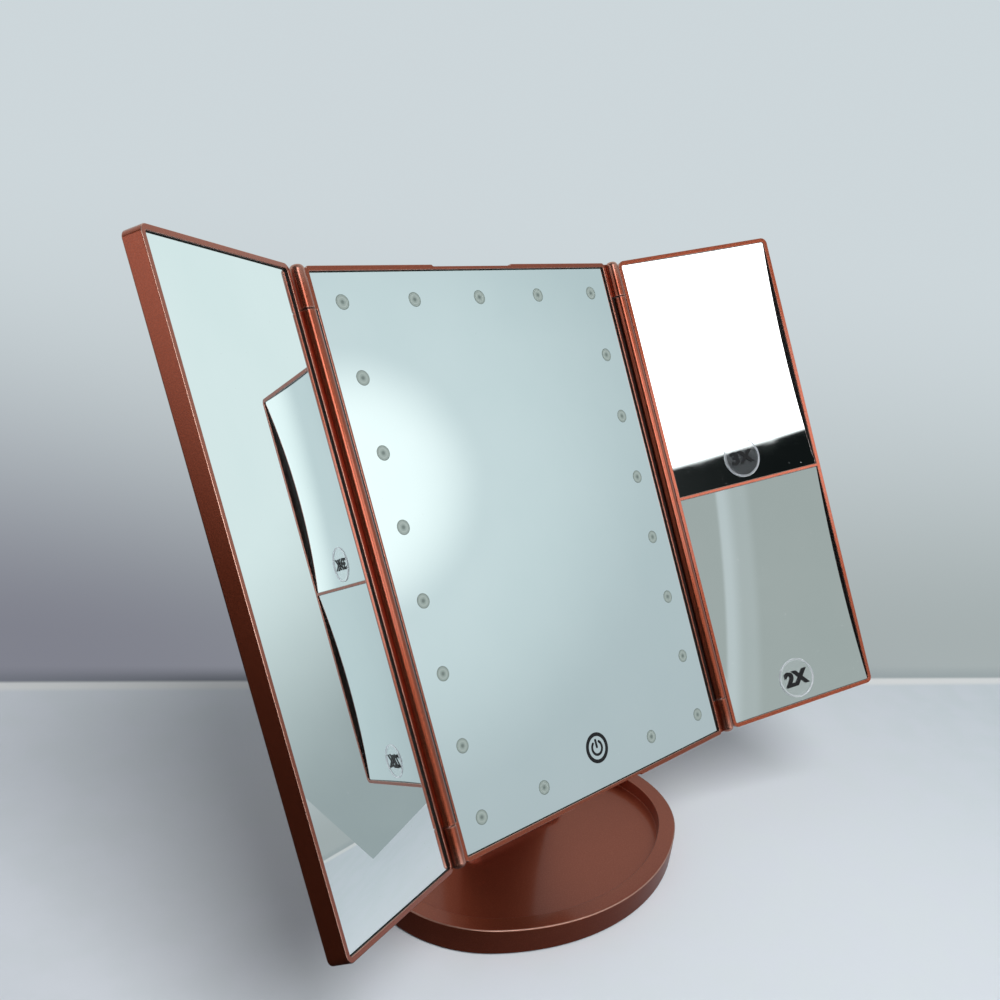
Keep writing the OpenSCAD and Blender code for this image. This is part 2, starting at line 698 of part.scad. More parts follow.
module battery_plates() color(steel) head_place() for (z = [bay_z, bay_z + bay_len - contact_t])
    head_box(-bay_w / 2 + 0.4, bay_w / 2 - 0.4, bay_back + 1, bay_back + 12, z, z + contact_t);

// Door hooked at its lower edge, snapped at its top
module battery_door() color(dark_copper) head_place() {
    difference() {
        union() {
            head_box(-door_half, door_half, door_y, housing_back, door_pivot_z, door_high);
            translate([-door_half, door_pivot_y, door_pivot_z]) along_x()
                cylinder(r = door_roll, h = 2 * door_half);
            translate([-door_half - peg_len, door_pivot_y, door_pivot_z]) along_x()
                cylinder(r = peg_r, h = 2 * (door_half + peg_len));
        }
        // thumb dimple by the latch
        translate([0, housing_back + 15.2, door_high - 10]) sphere(r = 16);
    }
    head_box(-latch_w / 2, latch_w / 2, door_y - 0.6, door_y + eps,
        bay_z + bay_len - 2.2, bay_z + bay_len - 0.2);
}

// Wings

module wing_shell() {
    difference() {
        slab(rounded(wing_near, -panel_h / 2, wing_reach, panel_h / 2, corner_r),
            -hinge_lift - wing_depth, -hinge_lift);
        slab(rounded(wing_glass_near, -panel_h / 2 + rim, wing_glass_far, panel_h / 2 - rim, 1),
            -hinge_lift - tray_floor, 1);
    }
    difference() {
        union() {
            translate([0, barrel_half, 0]) rotate([90, 0, 0]) cylinder(r = barrel_r, h = 2 * barrel_half);
            translate([0, -barrel_half, -barrel_r])
                cube([wing_near + hinge_rim / 2, 2 * barrel_half, barrel_web_t]);
        }
        for (t = [0, 1]) mirror([0, t, 0]) translate([0, barrel_half + 1, 0]) rotate([90, 0, 0])
            cylinder(r = pin_r + run_fit, h = pin_len / 2 + 2);
    }
}

module left_tray() color(copper) wing_place(-1) wing_shell();

module left_mirror() color(silver) wing_place(-1) slab(rounded(wing_glass_near + glass_gap,
    -panel_h / 2 + rim + glass_gap, wing_glass_far - glass_gap, panel_h / 2 - rim - glass_gap, 0.9),
    -hinge_lift - glass_sink - wing_glass_t, -hinge_lift - glass_sink);

module left_tape() color(foam_white) wing_place(-1) for (k = [-1:1])
    let (v = k * (panel_h / 2 - rim - tape_end))
    slab(rounded(wing_glass_near + tape_side, v - tape_h / 2, wing_glass_far - tape_side, v + tape_h / 2,
        2), -hinge_lift - tray_floor, -hinge_lift - glass_sink - wing_glass_t);

module right_tray() color(copper) wing_place(1) {
    wing_shell();
    translate([wing_glass_near - 0.5, bar_v - bar_w / 2, -hinge_lift - tray_floor - 0.2])
        cube([wing_glass_far - wing_glass_near + 1, bar_w, tray_floor + 0.2]);
}

// A magnifier spans low to high along the wing; its corners sit at the same depth as flat glass
lens_mid_d = (wing_glass_near + wing_glass_far) / 2;
ring_inner = 16;
ring_outer = 28;
foam_gap = 0.005;
lens_low = [-panel_h / 2 + rim, bar_v - bar_w / 2];
lens_high = [bar_v + bar_w / 2, panel_h / 2 - rim];

function lens_half(span) = norm([(wing_glass_far - wing_glass_near) / 2, (span[1] - span[0]) / 2]);
function lens_centre(curve, span) = [lens_mid_d, (span[0] + span[1]) / 2,
    -hinge_lift - glass_sink * 0.6 + sqrt(curve * curve - pow(lens_half(span), 2))];

module lens_block(span, inset, z0, z1) {
    slab(rounded(wing_glass_near + inset, span[0] + inset, wing_glass_far - inset, span[1] - inset, 0.9),
        z0, z1);
}

module lens(curve, span) {
    difference() {
        intersection() {
            lens_block(span, glass_gap, -hinge_lift - tray_floor, -hinge_lift);
            translate(lens_centre(curve, span)) sphere(r = curve + lens_t, $fn = 256);
        }
        translate(lens_centre(curve, span)) sphere(r = curve, $fn = 256);
    }
}

module mirror_3x() color(silver) wing_place(1) lens(curve_3x, lens_high);

module mirror_2x() color(silver) wing_place(1) lens(curve_2x, lens_low);

// A foam ring between the tray's floor and the back of a magnifier
module foam_ring(curve, span) {
    middle = lens_centre(curve, span);
    floor_w = -hinge_lift - tray_floor;
    translate([middle[0], middle[1], floor_w]) rotate_extrude() polygon(concat(
        [[ring_inner, 0], [ring_outer, 0]],
        [for (i = [4:-1:0]) let (r = ring_inner + (ring_outer - ring_inner) * i / 4)
            [r, middle[2] - floor_w - sqrt(pow(curve + lens_t, 2) - r * r) - foam_gap]]));
}

module right_pads() color(foam_white) wing_place(1) {
    foam_ring(curve_3x, lens_high);
    foam_ring(curve_2x, lens_low);
}

// A clear round label that follows the curve of its mirror
module mark(curve, span) {
    difference() {
        intersection() {
            translate([mark_d, span[0] + mark_rise, -hinge_lift - tray_floor])
                cylinder(r = mark_r, h = tray_floor);
            translate(lens_centre(curve, span)) sphere(r = curve, $fn = 256);
        }
        translate(lens_centre(curve, span)) sphere(r = curve - mark_t, $fn = 256);
    }
}

module mark_3x() color("white") wing_place(1) mark(curve_3x, lens_high);

module mark_2x() color("white") wing_place(1) mark(curve_2x, lens_low);

base_shell();
base_plate();
base_pad();
base_screws();
neck_arm();
neck_cover();
neck_screws();
tilt_shaft();
tilt_washers();
panel_place() centre_frame();
panel_place() centre_mirror();
panel_place() led_windows();
panel_place() touch_icon();
panel_place() touch_pad();
panel_place() led_board();
panel_place() leds();
panel_place() glass_tape();
back_cover();
control_board();
board_parts();
usb_socket();
battery_cells();
battery_springs();
battery_plates();
battery_door();
cover_screws();
hinge_pins();
tilt_caps();
left_tray();
left_mirror();
left_tape();
right_tray();
mirror_3x();
mirror_2x();
right_pads();
mark_3x();
mark_2x();
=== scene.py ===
"""Looks of a trifold vanity mirror: rose-gold paint, silvered glass, etched light windows, oval tray base."""
import math

import bmesh
import bpy
from mathutils import Matrix, Vector


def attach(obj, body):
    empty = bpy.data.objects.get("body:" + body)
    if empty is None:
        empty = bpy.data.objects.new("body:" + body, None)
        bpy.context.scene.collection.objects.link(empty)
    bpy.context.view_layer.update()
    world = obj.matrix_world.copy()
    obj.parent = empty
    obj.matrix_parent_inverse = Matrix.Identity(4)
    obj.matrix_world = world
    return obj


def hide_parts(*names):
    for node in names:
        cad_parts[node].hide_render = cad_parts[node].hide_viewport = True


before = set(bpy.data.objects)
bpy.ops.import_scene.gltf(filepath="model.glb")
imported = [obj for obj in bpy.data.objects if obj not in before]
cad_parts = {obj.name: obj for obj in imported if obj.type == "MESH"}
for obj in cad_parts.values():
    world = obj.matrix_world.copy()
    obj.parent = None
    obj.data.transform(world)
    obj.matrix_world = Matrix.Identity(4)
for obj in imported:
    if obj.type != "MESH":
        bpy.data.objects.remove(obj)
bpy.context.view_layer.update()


# Camera. It was held to the left of the mirror, a little above it and tipped to one side.
# A normal lens; its frame is shifted because the picture is cut from a larger one.
camera_data = bpy.data.cameras.new("camera")
camera_data.sensor_width = 36
camera_data.lens = 41.616
camera_data.shift_x = -0.10207
camera_data.shift_y = 0.12148
camera = bpy.data.objects.new("camera", camera_data)
bpy.context.scene.collection.objects.link(camera)
camera_place = Vector((-0.33452, -0.28035, 0.32583))
camera_right = Vector((0.65896, -0.73674, 0.15159))
camera_up = Vector((0.22762, 0.38741, 0.89337))
camera_axes = Matrix((camera_right, camera_up, camera_right.cross(camera_up))).transposed()
camera.matrix_world = Matrix.Translation(camera_place) @ camera_axes.to_4x4()
bpy.context.scene.camera = camera


# Foam pad: closed-cell sheet, cut to the base's oval and stuck under the bottom plate.
# Its cut cells show as fine pits. All finishes are wired with the two classes here.
class Wire:
    """One output of a node. Sums, products and powers of wires add Math nodes."""

    def __init__(self, tree, socket):
        self.tree = tree
        self.socket = socket

    def math(self, operation, first, second):
        return self.tree.node("ShaderNodeMath", {"operation": operation}, {0: first, 1: second})

    def __add__(self, other):
        return self.math("ADD", self, other)

    def __radd__(self, other):
        return self.math("ADD", other, self)

    def __sub__(self, other):
        return self.math("SUBTRACT", self, other)

    def __rsub__(self, other):
        return self.math("SUBTRACT", other, self)

    def __mul__(self, other):
        return self.math("MULTIPLY", self, other)

    def __rmul__(self, other):
        return self.math("MULTIPLY", other, self)

    def __truediv__(self, other):
        return self.math("DIVIDE", self, other)

    def __rtruediv__(self, other):
        return self.math("DIVIDE", other, self)

    def __pow__(self, other):
        return self.math("POWER", self, other)

    def above(self, other):
        return self.math("GREATER_THAN", self, other)

    def under(self, other):
        return self.math("LESS_THAN", self, other)

    def ramp(self, low, high):
        """0 at low, 1 at high, smooth between them."""
        return self.tree.node("ShaderNodeMapRange", {"interpolation_type": "SMOOTHSTEP"},
                              {"Value": self, "From Min": low, "From Max": high})


class Tree:
    """A node tree that is being wired."""

    def __init__(self, tree):
        self.tree = tree
        tree.nodes.clear()

    def node(self, kind, settings=None, sockets=None, out=0):
        """Adds a node: its settings first, then the values or wires of its sockets."""
        made = self.tree.nodes.new(kind)
        for name, value in (settings or {}).items():
            setattr(made, name, value)
        for key, value in (sockets or {}).items():
            for one in value if isinstance(value, list) else [value]:
                if isinstance(one, Wire):
                    self.tree.links.new(one.socket, made.inputs[key])
                else:
                    made.inputs[key].default_value = one
        return Wire(self, made.outputs[out]) if made.outputs else None

    def place(self):
        """The point on the piece itself, in metres."""
        return self.node("ShaderNodeTexCoord", out="Object")

    def cloud(self, per_metre, detail=2.0, where=None):
        """Soft noise from 0 to 1, with so many humps to the metre."""
        return self.node("ShaderNodeTexNoise", {}, {
            "Vector": where or self.place(), "Scale": per_metre, "Detail": detail})

    def cells(self, per_metre, feature="F1"):
        """Distance from the nearest of scattered points."""
        return self.node("ShaderNodeTexVoronoi", {"feature": feature}, {
            "Vector": self.place(), "Scale": per_metre})

    def tint(self, amount, low, high):
        """A colour between two others."""
        return self.node("ShaderNodeMix", {"data_type": "RGBA"}, {0: amount, 6: low, 7: high}, out=2)

    def relief(self, height, depth):
        """A normal that follows a height, depth metres at height 1."""
        return self.node("ShaderNodeBump", {}, {"Height": height, "Strength": 1.0, "Distance": depth})


def rgb(red, green, blue):
    return (red, green, blue, 1.0)


def finish(name, wire_up):
    """A material whose Principled shader takes the sockets that wire_up(tree) returns."""
    material = bpy.data.materials.new(name)
    material.use_nodes = True
    tree = Tree(material.node_tree)
    surface = tree.node("ShaderNodeBsdfPrincipled", {}, wire_up(tree))
    tree.node("ShaderNodeOutputMaterial", {}, {"Surface": surface})
    return material


def dress(material, *nodes):
    """Gives CAD nodes a finish."""
    for node in nodes:
        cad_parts[node].data.materials.clear()
        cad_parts[node].data.materials.append(material)


def foam(light, dark, cell_size):
    def wire_up(tree):
        pits = tree.cells(1 / cell_size)
        return {"Base Color": tree.tint(pits.ramp(0.1, 0.6), light, dark),
                "Roughness": 0.8 + 0.15 * pits,
                "Normal": tree.relief(1 - pits, cell_size * 0.4)}
    return wire_up


dress(finish("black_foam", foam(rgb(0.045, 0.045, 0.048), rgb(0.015, 0.015, 0.016), 0.0006)), "base_pad")


# Bottom plate: moulded in dark plastic with a fine spark-eroded grain, let into the shell from below
# and held by four screws under the pad.
def grained_plastic(colour, grain):
    def wire_up(tree):
        speckle = tree.cloud(1 / grain, 4.0)
        patches = tree.cloud(35.0)
        darker = rgb(*(0.7 * c for c in colour[:3]))
        return {"Base Color": tree.tint(patches * speckle * 2, darker, colour),
                "Roughness": 0.42 + 0.25 * speckle,
                "Normal": tree.relief(speckle, grain * 0.12)}
    return wire_up


dress(finish("dark_grained_plastic", grained_plastic(rgb(0.085, 0.05, 0.042), 0.0004)), "base_plate")


# Steel parts: plate screws, neck screws, cross shaft, hinge pins, contacts and the inlet's shell.
# Zinc plated, so the tone drifts a little and the drawn wire leaves faint lines.
def plated_steel(tree):
    drift = tree.cloud(160.0, 3.0)
    lines = tree.cloud(2500.0, 1.0)
    return {"Base Color": tree.tint(drift, rgb(0.44, 0.44, 0.43), rgb(0.68, 0.68, 0.7)),
            "Metallic": 1.0,
            "Roughness": 0.2 + 0.16 * drift + 0.08 * lines,
            "Normal": tree.relief(lines, 0.000015)}


steel = finish("plated_steel", plated_steel)
dress(steel, "base_screws", "neck_screws", "tilt_shaft", "hinge_pins", "battery_plates", "usb_socket")


# Base shell: the oval tray, moulded in one piece and sprayed rose gold, duller than the head. Its
# outline is four arcs that meet without a kink, and its rim is flat.
mm = 0.001


def bend(middle, radius, start, end, steps):
    """Points of an arc; the angles are in degrees."""
    turns = [math.radians(start + (end - start) * i / steps) for i in range(steps + 1)]
    return [(middle[0] + radius * math.cos(turn), middle[1] + radius * math.sin(turn)) for turn in turns]


class Mould:
    """Points and faces in millimetres. Each point carries a mark: on the rose gold paint 1 is a rubbed edge that is
    also lightened as a painted highlight, 0 is plain paint, and -1 is bare plastic where paint didn't reach, darkened
    to near black as painted shade.
    """

    def __init__(self):
        self.points = []
        self.wear = []
        self.faces = []

    def ring(self, outline, height, wear=0.0):
        first = len(self.points)
        self.points += [Vector((x, y, height)) for x, y in outline]
        self.wear += wear if isinstance(wear, list) else [wear] * len(outline)
        return list(range(first, len(self.points)))

    def skin(self, rings):
        for low, high in zip(rings, rings[1:]):
            for i in range(len(low)):
                j = (i + 1) % len(low)
                self.faces.append((low[i], low[j], high[j], high[i]))

    def swept(self, outline, profile, loop=False):
        """One ring of the outline for each (insets, height, wear) of the profile, closed into a solid."""
        rings = [self.ring(outline(*insets), height, wear) for insets, height, wear in profile]
        if loop:
            self.skin(rings + rings[:1])
        else:
            self.skin(rings)
            self.faces += [tuple(rings[0]), tuple(rings[-1])]
        return self

    def turned(self, profile, sides=64):
        """A solid turned on its own Z axis, from (radius, height, wear) triples."""
        return self.swept(lambda r: bend((0, 0), r, 0, 360 - 360 / sides, sides - 1),
                          [((radius,), height, wear) for radius, height, wear in profile])

    def mesh(self, name, place=Matrix.Identity(4)):
        """A mesh of the mould in its place, with its faces outward and its points' marks as an attribute."""
        mesh = bpy.data.meshes.new(name)
        mesh.from_pydata([place @ point for point in self.points], [], self.faces)
        wear = mesh.attributes.new("wear", "FLOAT", "POINT")
        wear.data.foreach_set("value", self.wear)
        shell = bmesh.new()
        shell.from_mesh(mesh)
        bmesh.ops.recalc_face_normals(shell, faces=shell.faces)
        shell.to_mesh(mesh)
        shell.free()
        return mesh

    def add(self, other, place=Matrix.Identity(4)):
        first = len(self.points)
        self.points += [place @ point for point in other.points]
        self.wear += other.wear
        self.faces += [tuple(first + i for i in face) for face in other.faces]
        return self


def edge(insets, height, radius, start, end, wear=1.0, steps=5):
    """Profile steps round an arc: its middle's insets and height, and its angles, 180 being outward. Its mark peaks
    halfway round, which the rose gold paint shows as a rubbed edge and a painted highlight.
    """
    arc = bend((0, height), radius, start, end, steps)
    return [(tuple(inset + across for inset in insets), up, wear * math.sin(math.pi * k / steps))
            for k, (across, up) in enumerate(arc)]


def finished(name, mesh, material, body, nodes, flats=True, corner=35):
    mesh.materials.clear()
    mesh.materials.append(material)
    mesh.shade_smooth()
    mesh.set_sharp_from_angle(angle=math.radians(corner))
    piece = bpy.data.objects.new(name, mesh)
    bpy.context.scene.collection.objects.link(piece)
    if flats:
        even = piece.modifiers.new("flat faces stay flat", "WEIGHTED_NORMAL")
        even.keep_sharp = True
    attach(piece, body)
    if nodes:
        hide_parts(*nodes)
    return piece


def cast(name, mould, place, material, body, nodes, flats=True):
    """Makes a piece from a mould; place is the row frame's place of the mould's origin, in metres."""
    mesh = mould.mesh(name, place @ Matrix.Scale(mm, 4))
    return finished(name, mesh, material, body, nodes, flats)


def rose_gold(roughness):
    def wire_up(tree):
        wear = tree.node("ShaderNodeAttribute", {"attribute_name": "wear"}, {}, out="Fac")
        flakes = tree.cells(1900.0)
        grain = tree.cloud(2600.0, 2.0)
        drift = tree.cloud(22.0, 3.0)
        # Painted highlight: where a point is marked as a rubbed edge, the paint is lightened to pale pink, partly
        # rubbed paint and partly a highlight along rounded edges.
        rubbed_and_highlight = wear.ramp(0.2, 1.0) * (0.3 + 0.4 * tree.cloud(180.0, 3.0))
        # Painted shade: where a point is marked -1, the paint turns near black, partly bare plastic and partly shade in
        # gaps, recesses and inner walls.
        unpainted_and_shade = (-1 * wear).ramp(0.3, 0.9)
        tone = tree.tint(0.35 * drift + 0.65 * flakes, rgb(0.27, 0.052, 0.022), rgb(0.4, 0.092, 0.045))
        tone = tree.tint(rubbed_and_highlight, tone, rgb(0.85, 0.58, 0.48))
        return {"Base Color": tree.tint(unpainted_and_shade, tone, rgb(0.012, 0.006, 0.005)),
                "Metallic": 0.94 - 0.6 * unpainted_and_shade,
                "Roughness": roughness + 0.07 * grain + 0.04 * drift + 0.2 * unpainted_and_shade,
                "Coat Weight": 0.5,
                "Coat Roughness": 0.4 * roughness,
                "Normal": tree.relief(grain + 0.6 * flakes, 0.000008)}
    return wire_up


paint = finish("rose_gold_paint", rose_gold(0.2))
satin_paint = finish("satin_rose_gold_paint", rose_gold(0.36))

base_length, base_depth = 157.0, 120.0
base_height, rim_width, tray_depth = 12.5, 8.0, 6.0
shell_wall, pad_thickness, foot_gap = 2.0, 1.0, 0.4


def oval(inset):
    """The base's outline of four arcs whose centres make 3-4-5 triangles."""
    step = (base_length - base_depth) / 4
    turn = math.degrees(math.atan2(4, 3))
    end_radius = base_length / 2 - 3 * step - inset
    side_radius = base_depth / 2 + 4 * step - inset
    arcs = (((3 * step, 0), end_radius, -turn, turn), ((0, -4 * step), side_radius, turn, 180 - turn),
            ((-3 * step, 0), end_radius, 180 - turn, 180 + turn),
            ((0, 4 * step), side_radius, 180 + turn, 360 - turn))
    return [point for middle, radius, start, end in arcs for point in bend(middle, radius, start, end, 44)[:-1]]


tray_floor, foot, under_rim = base_height - tray_depth, pad_thickness - foot_gap, base_height - shell_wall
outer_round, inner_round, foot_round, floor_round = 0.8, 0.5, 0.4, 0.2
# The rounded edges are marked as rubbed, the outer top edge most, and the paint lightens them to a pale line, partly
# rubbed paint and partly a painted highlight. The shell's inside is marked -1: bare plastic darkened as painted shade.
base_profile = [
    ((rim_width - shell_wall,), tray_floor - shell_wall, -1), ((rim_width - shell_wall,), under_rim, -1),
    ((shell_wall,), under_rim, -1), ((shell_wall,), foot, -1),
    *edge((foot_round,), foot + foot_round, foot_round, 270, 180, 0.5, 3),
    *edge((outer_round,), base_height - outer_round, outer_round, 180, 90, 0.8, 6),
    *edge((rim_width - inner_round,), base_height - inner_round, inner_round, 90, 0, 0.4),
    *edge((rim_width + floor_round,), tray_floor + floor_round, floor_round, 180, 270, 0),
    ((rim_width + 3 * floor_round,), tray_floor, 0)]
cast("tray_base", Mould().swept(oval, base_profile), Matrix.Identity(4), satin_paint, "base",
     ["base_shell"])


# Neck: a flat curved arm, moulded in two halves that snap together, on a flange screwed down from
# under the tray. A barrel across its top takes the tilt shaft.
def softened(node, radius, corner=30):
    """A merged copy of a CAD node's mesh, its hard edges rounded off and marked as rubbed, which the paint lightens as
    rubbed paint and a painted highlight.
    """
    solid = bmesh.new()
    solid.from_mesh(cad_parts[node].data)
    bmesh.ops.remove_doubles(solid, verts=solid.verts, dist=0.002 * mm)
    bmesh.ops.dissolve_limit(solid, angle_limit=math.radians(1.5), verts=solid.verts, edges=solid.edges)
    wear = solid.verts.layers.float.new("wear")
    hard = [one for one in solid.edges if one.is_manifold and one.calc_face_angle(0) > math.radians(corner)]
    rounded = bmesh.ops.bevel(solid, geom=hard, offset=radius * mm, offset_type="OFFSET", segments=3,
                              profile=0.5, affect="EDGES", clamp_overlap=True)
    for point in rounded["verts"]:
        point[wear] = 0.7
    mesh = bpy.data.meshes.new(node)
    solid.to_mesh(mesh)
    solid.free()
    return mesh


finished("neck", softened("neck_arm", 0.5), paint, "base", ["neck_arm"])
finished("neck_rear_half", softened("neck_cover", 0.3), paint, "base", ["neck_cover"])


# Friction washers: pale low-friction plastic, one on each side of the neck's barrel. They hold the tilt.
dress(finish("pale_washer_plastic", grained_plastic(rgb(0.74, 0.73, 0.68), 0.0003)), "tilt_washers")


# Places of the head. The tilt joint gives the axis; the head leans back from upright, and the panel
# frame has X across, Y up the mirror and Z out of it, from the middle of the front face.
lean = 31.0
axis_depth, axis_rise = 20.0, 58.0
panel_width, panel_height, frame_depth = 161.0, 224.0, 9.0
tilt_axis = Vector((0, 6, 96.5)) * mm
head_place = Matrix.Translation(tilt_axis) @ Matrix.Rotation(math.radians(-lean), 4, "X")
panel_place = (head_place @ Matrix.Translation(Vector((0, -axis_depth, panel_height / 2 - axis_rise)) * mm)
               @ Matrix.Rotation(math.radians(90), 4, "X"))


# Back cover: a thin plate with the housing for the battery, the board and the tilt hinge moulded on,
# sprayed like the frame. Plain caps close the shaft's ends.
finished("back_shell", softened("back_cover", 0.45), paint, "head", ["back_cover"])
finished("shaft_caps", softened("tilt_caps", 0.35), paint, "head", ["tilt_caps"])


# Battery door: a plain lid hooked at its lower edge, with a thumb dimple and a row of grip ribs
# moulded under the latch.
finished("battery_lid", softened("battery_door", 0.3), paint, "battery_door", ["battery_door"])


def grown(name, sizes, wire_up, material, model=None):
    """A mesh in millimetres from a Geometry Nodes tree; its inputs are the sizes by name, and a model."""
    group = bpy.data.node_groups.new(name, "GeometryNodeTree")
    tree = Tree(group)
    group.interface.new_socket("Geometry", in_out="OUTPUT", socket_type="NodeSocketGeometry")
    values = {**sizes, "Model": model} if model else sizes
    sockets = {label: group.interface.new_socket(label, in_out="INPUT", socket_type=(
        "NodeSocketObject" if label == "Model" else "NodeSocketFloat")) for label in values}
    inputs = {label: tree.node("NodeGroupInput", out=label) for label in values}
    whole = tree.node("GeometryNodeRealizeInstances", {}, {"Geometry": wire_up(tree, inputs)})
    whole = tree.node("GeometryNodeSetMaterial", {}, {"Geometry": whole, "Material": material})
    tree.node("NodeGroupOutput", {}, {0: whole})
    carrier = bpy.data.objects.new(name, bpy.data.meshes.new(name))
    bpy.context.scene.collection.objects.link(carrier)
    grower = carrier.modifiers.new(name, "NODES")
    grower.node_group = group
    for label, value in values.items():
        grower[sockets[label].identifier] = value
    mesh = bpy.data.meshes.new_from_object(carrier.evaluated_get(bpy.context.evaluated_depsgraph_get()))
    carrier.modifiers.clear()
    bpy.data.objects.remove(carrier)
    return mesh


def planted(name, mould, sizes, spots, material):
    """Copies of a mould, one on each point; spots(tree, inputs) wires the points and their turns."""
    def wire_up(tree, inputs):
        points, turns = spots(tree, inputs)
        shape = tree.node("GeometryNodeObjectInfo", {}, {"Object": inputs["Model"]}, out="Geometry")
        return tree.node("GeometryNodeInstanceOnPoints", {}, {
            "Points": points, "Instance": shape, "Rotation": turns})

    model = bpy.data.objects.new(name + "_model", mould.mesh(name + "_model"))
    bpy.context.scene.collection.objects.link(model)
    mesh = grown(name, sizes, wire_up, material, model)
    bpy.data.objects.remove(model)
    return mesh


def placed(mesh, place):
    """Takes a mesh from millimetres to its place in the row frame."""
    mesh.transform(place @ Matrix.Scale(mm, 4))
    return mesh


def rib_spots(tree, sizes):
    step = tree.node("ShaderNodeCombineXYZ", {}, {2: sizes["Pitch"]})
    return tree.node("GeometryNodeMeshLine", {}, {"Count": 5, "Offset": step}), (0, math.pi / 2, 0)


rib_radius, rib_half = 0.45, 9.0
rib_end = bend((0, rib_half - rib_radius), rib_radius, 0, 80, 5)
# The ribs are marked 0.4 all over, so the paint lightens them a little, as rubbed paint and a painted highlight.
rib = Mould().turned([(r, -h, 0.4) for r, h in reversed(rib_end)] + [(r, h, 0.4) for r, h in rib_end], 24)
ribs = planted("door_ribs", rib, {"Pitch": 1.6}, rib_spots, paint)
finished("door_ribs", placed(ribs, head_place @ Matrix.Translation(Vector((0, 5.95, 50.0)) * mm)), paint, "battery_door",
         [], flats=False)


# Control board and the ring-shaped light board: green solder mask over copper tracks, with black chips.
def solder_mask(tree):
    where = tree.node("ShaderNodeVectorMath", {"operation": "SNAP"}, {0: tree.place(), 1: (0.0012, 0.0012, 0.0012)})
    tracks = tree.cloud(210.0, 1.0, where).ramp(0.5, 0.53)
    weave = tree.cloud(900.0, 2.0)
    board = tree.tint(weave, rgb(0.015, 0.1, 0.045), rgb(0.025, 0.15, 0.07))
    return {"Base Color": tree.tint(tracks * 0.6, board, rgb(0.05, 0.24, 0.1)),
            "Roughness": 0.25 + 0.2 * weave,
            "Normal": tree.relief(tracks, 0.00003)}


dress(finish("green_board", solder_mask), "control_board", "led_board")
dress(finish("black_chip", grained_plastic(rgb(0.03, 0.03, 0.033), 0.00015)), "board_parts")


# Light-emitting diodes: small white cases with a yellow phosphor over the die, soldered behind the windows.
def phosphor(tree):
    spread = tree.cloud(700.0, 2.0)
    return {"Base Color": tree.tint(spread, rgb(0.82, 0.72, 0.26), rgb(0.93, 0.9, 0.7)), "Roughness": 0.2 + 0.2 * spread,
            "Coat Weight": 0.5}


dress(finish("diode_phosphor", phosphor), "leds")


# Cells: four of the usual small size, in dark shrink film with bare steel ends, one way up and the
# other in turn. Each sits on a tapered coil spring.
def shrink_film(tree):
    creases = tree.cloud(420.0, 3.0)
    bare = tree.node("ShaderNodeAttribute", {"attribute_name": "wear"}, {}, out="Fac").ramp(0.4, 0.6)
    film_tone = tree.tint(creases, rgb(0.03, 0.03, 0.035), rgb(0.07, 0.07, 0.08))
    return {"Base Color": tree.tint(bare, film_tone, rgb(0.6, 0.6, 0.6)),
            "Metallic": 0.3 + 0.7 * bare, "Roughness": 0.22 + 0.2 * creases, "Coat Weight": 0.4,
            "Normal": tree.relief(creases, 0.00004)}


def bay_spots(tree, sizes):
    """The middles of the four cells, every other one turned over."""
    start = tree.node("ShaderNodeCombineXYZ", {}, {0: -1.5 * sizes["Pitch"]})
    step = tree.node("ShaderNodeCombineXYZ", {}, {0: sizes["Pitch"]})
    number = tree.node("GeometryNodeInputIndex")
    turned_over = number.math("MODULO", number, 2.0)
    line = tree.node("GeometryNodeMeshLine", {}, {"Count": 4, "Start Location": start, "Offset": step})
    return line, tree.node("ShaderNodeCombineXYZ", {}, {0: math.pi * turned_over})


def coils(tree, sizes):
    path = tree.node("GeometryNodeCurveSpiral", {}, {
        "Resolution": 24, "Rotations": sizes["Turns"], "Start Radius": sizes["Foot radius"],
        "End Radius": sizes["Tip radius"], "Height": sizes["Height"]})
    wire = tree.node("GeometryNodeCurvePrimitiveCircle", {}, {"Resolution": 12, "Radius": sizes["Wire radius"]})
    coil = tree.node("GeometryNodeCurveToMesh", {}, {"Curve": path, "Profile Curve": wire, "Fill Caps": True})
    coil = tree.node("GeometryNodeTransform", {}, {
        "Geometry": coil, "Translation": (0, 0, contact_thickness + 0.35 - bay_half)})
    points, turns = bay_spots(tree, sizes)
    return tree.node("GeometryNodeInstanceOnPoints", {}, {"Points": points, "Instance": coil, "Rotation": turns})


bay_half, contact_thickness, cell_radius, cell_foot = 27.95, 0.4, 7.1, 5.0
bay_place = head_place @ Matrix.Translation(Vector((0, -3.55, 15.0 + bay_half)) * mm)
steps = ((5.4, 0, 1), (6.5, 0, 1), (6.7, 0.05, 0), (cell_radius - 0.15, 0, 0), (cell_radius, 0.15, 0),
         (cell_radius, 49.0, 0), (cell_radius - 0.2, 49.2, 0), (6.1, 49.15, 0), (6.0, 48.8, 1), (2.8, 48.8, 1),
         (2.7, 49.1, 1), (2.7, 50.3, 1), (2.5, 50.5, 1))
cell = Mould().turned([(radius, cell_foot + height - bay_half, bare) for radius, height, bare in steps], 48)
shrink = finish("dark_shrink_film", shrink_film)
finished("cells", placed(planted("cells", cell, {"Pitch": 15.0}, bay_spots, shrink), bay_place), shrink, "head",
         ["battery_cells"], flats=False)
springs = grown("coil_springs", {"Pitch": 15.0, "Turns": 3.5, "Foot radius": 4.15, "Tip radius": 2.45, "Height": 3.9,
                                 "Wire radius": 0.35}, coils, steel)
finished("coil_springs", placed(springs, bay_place), steel, "head", ["battery_springs"], flats=False)


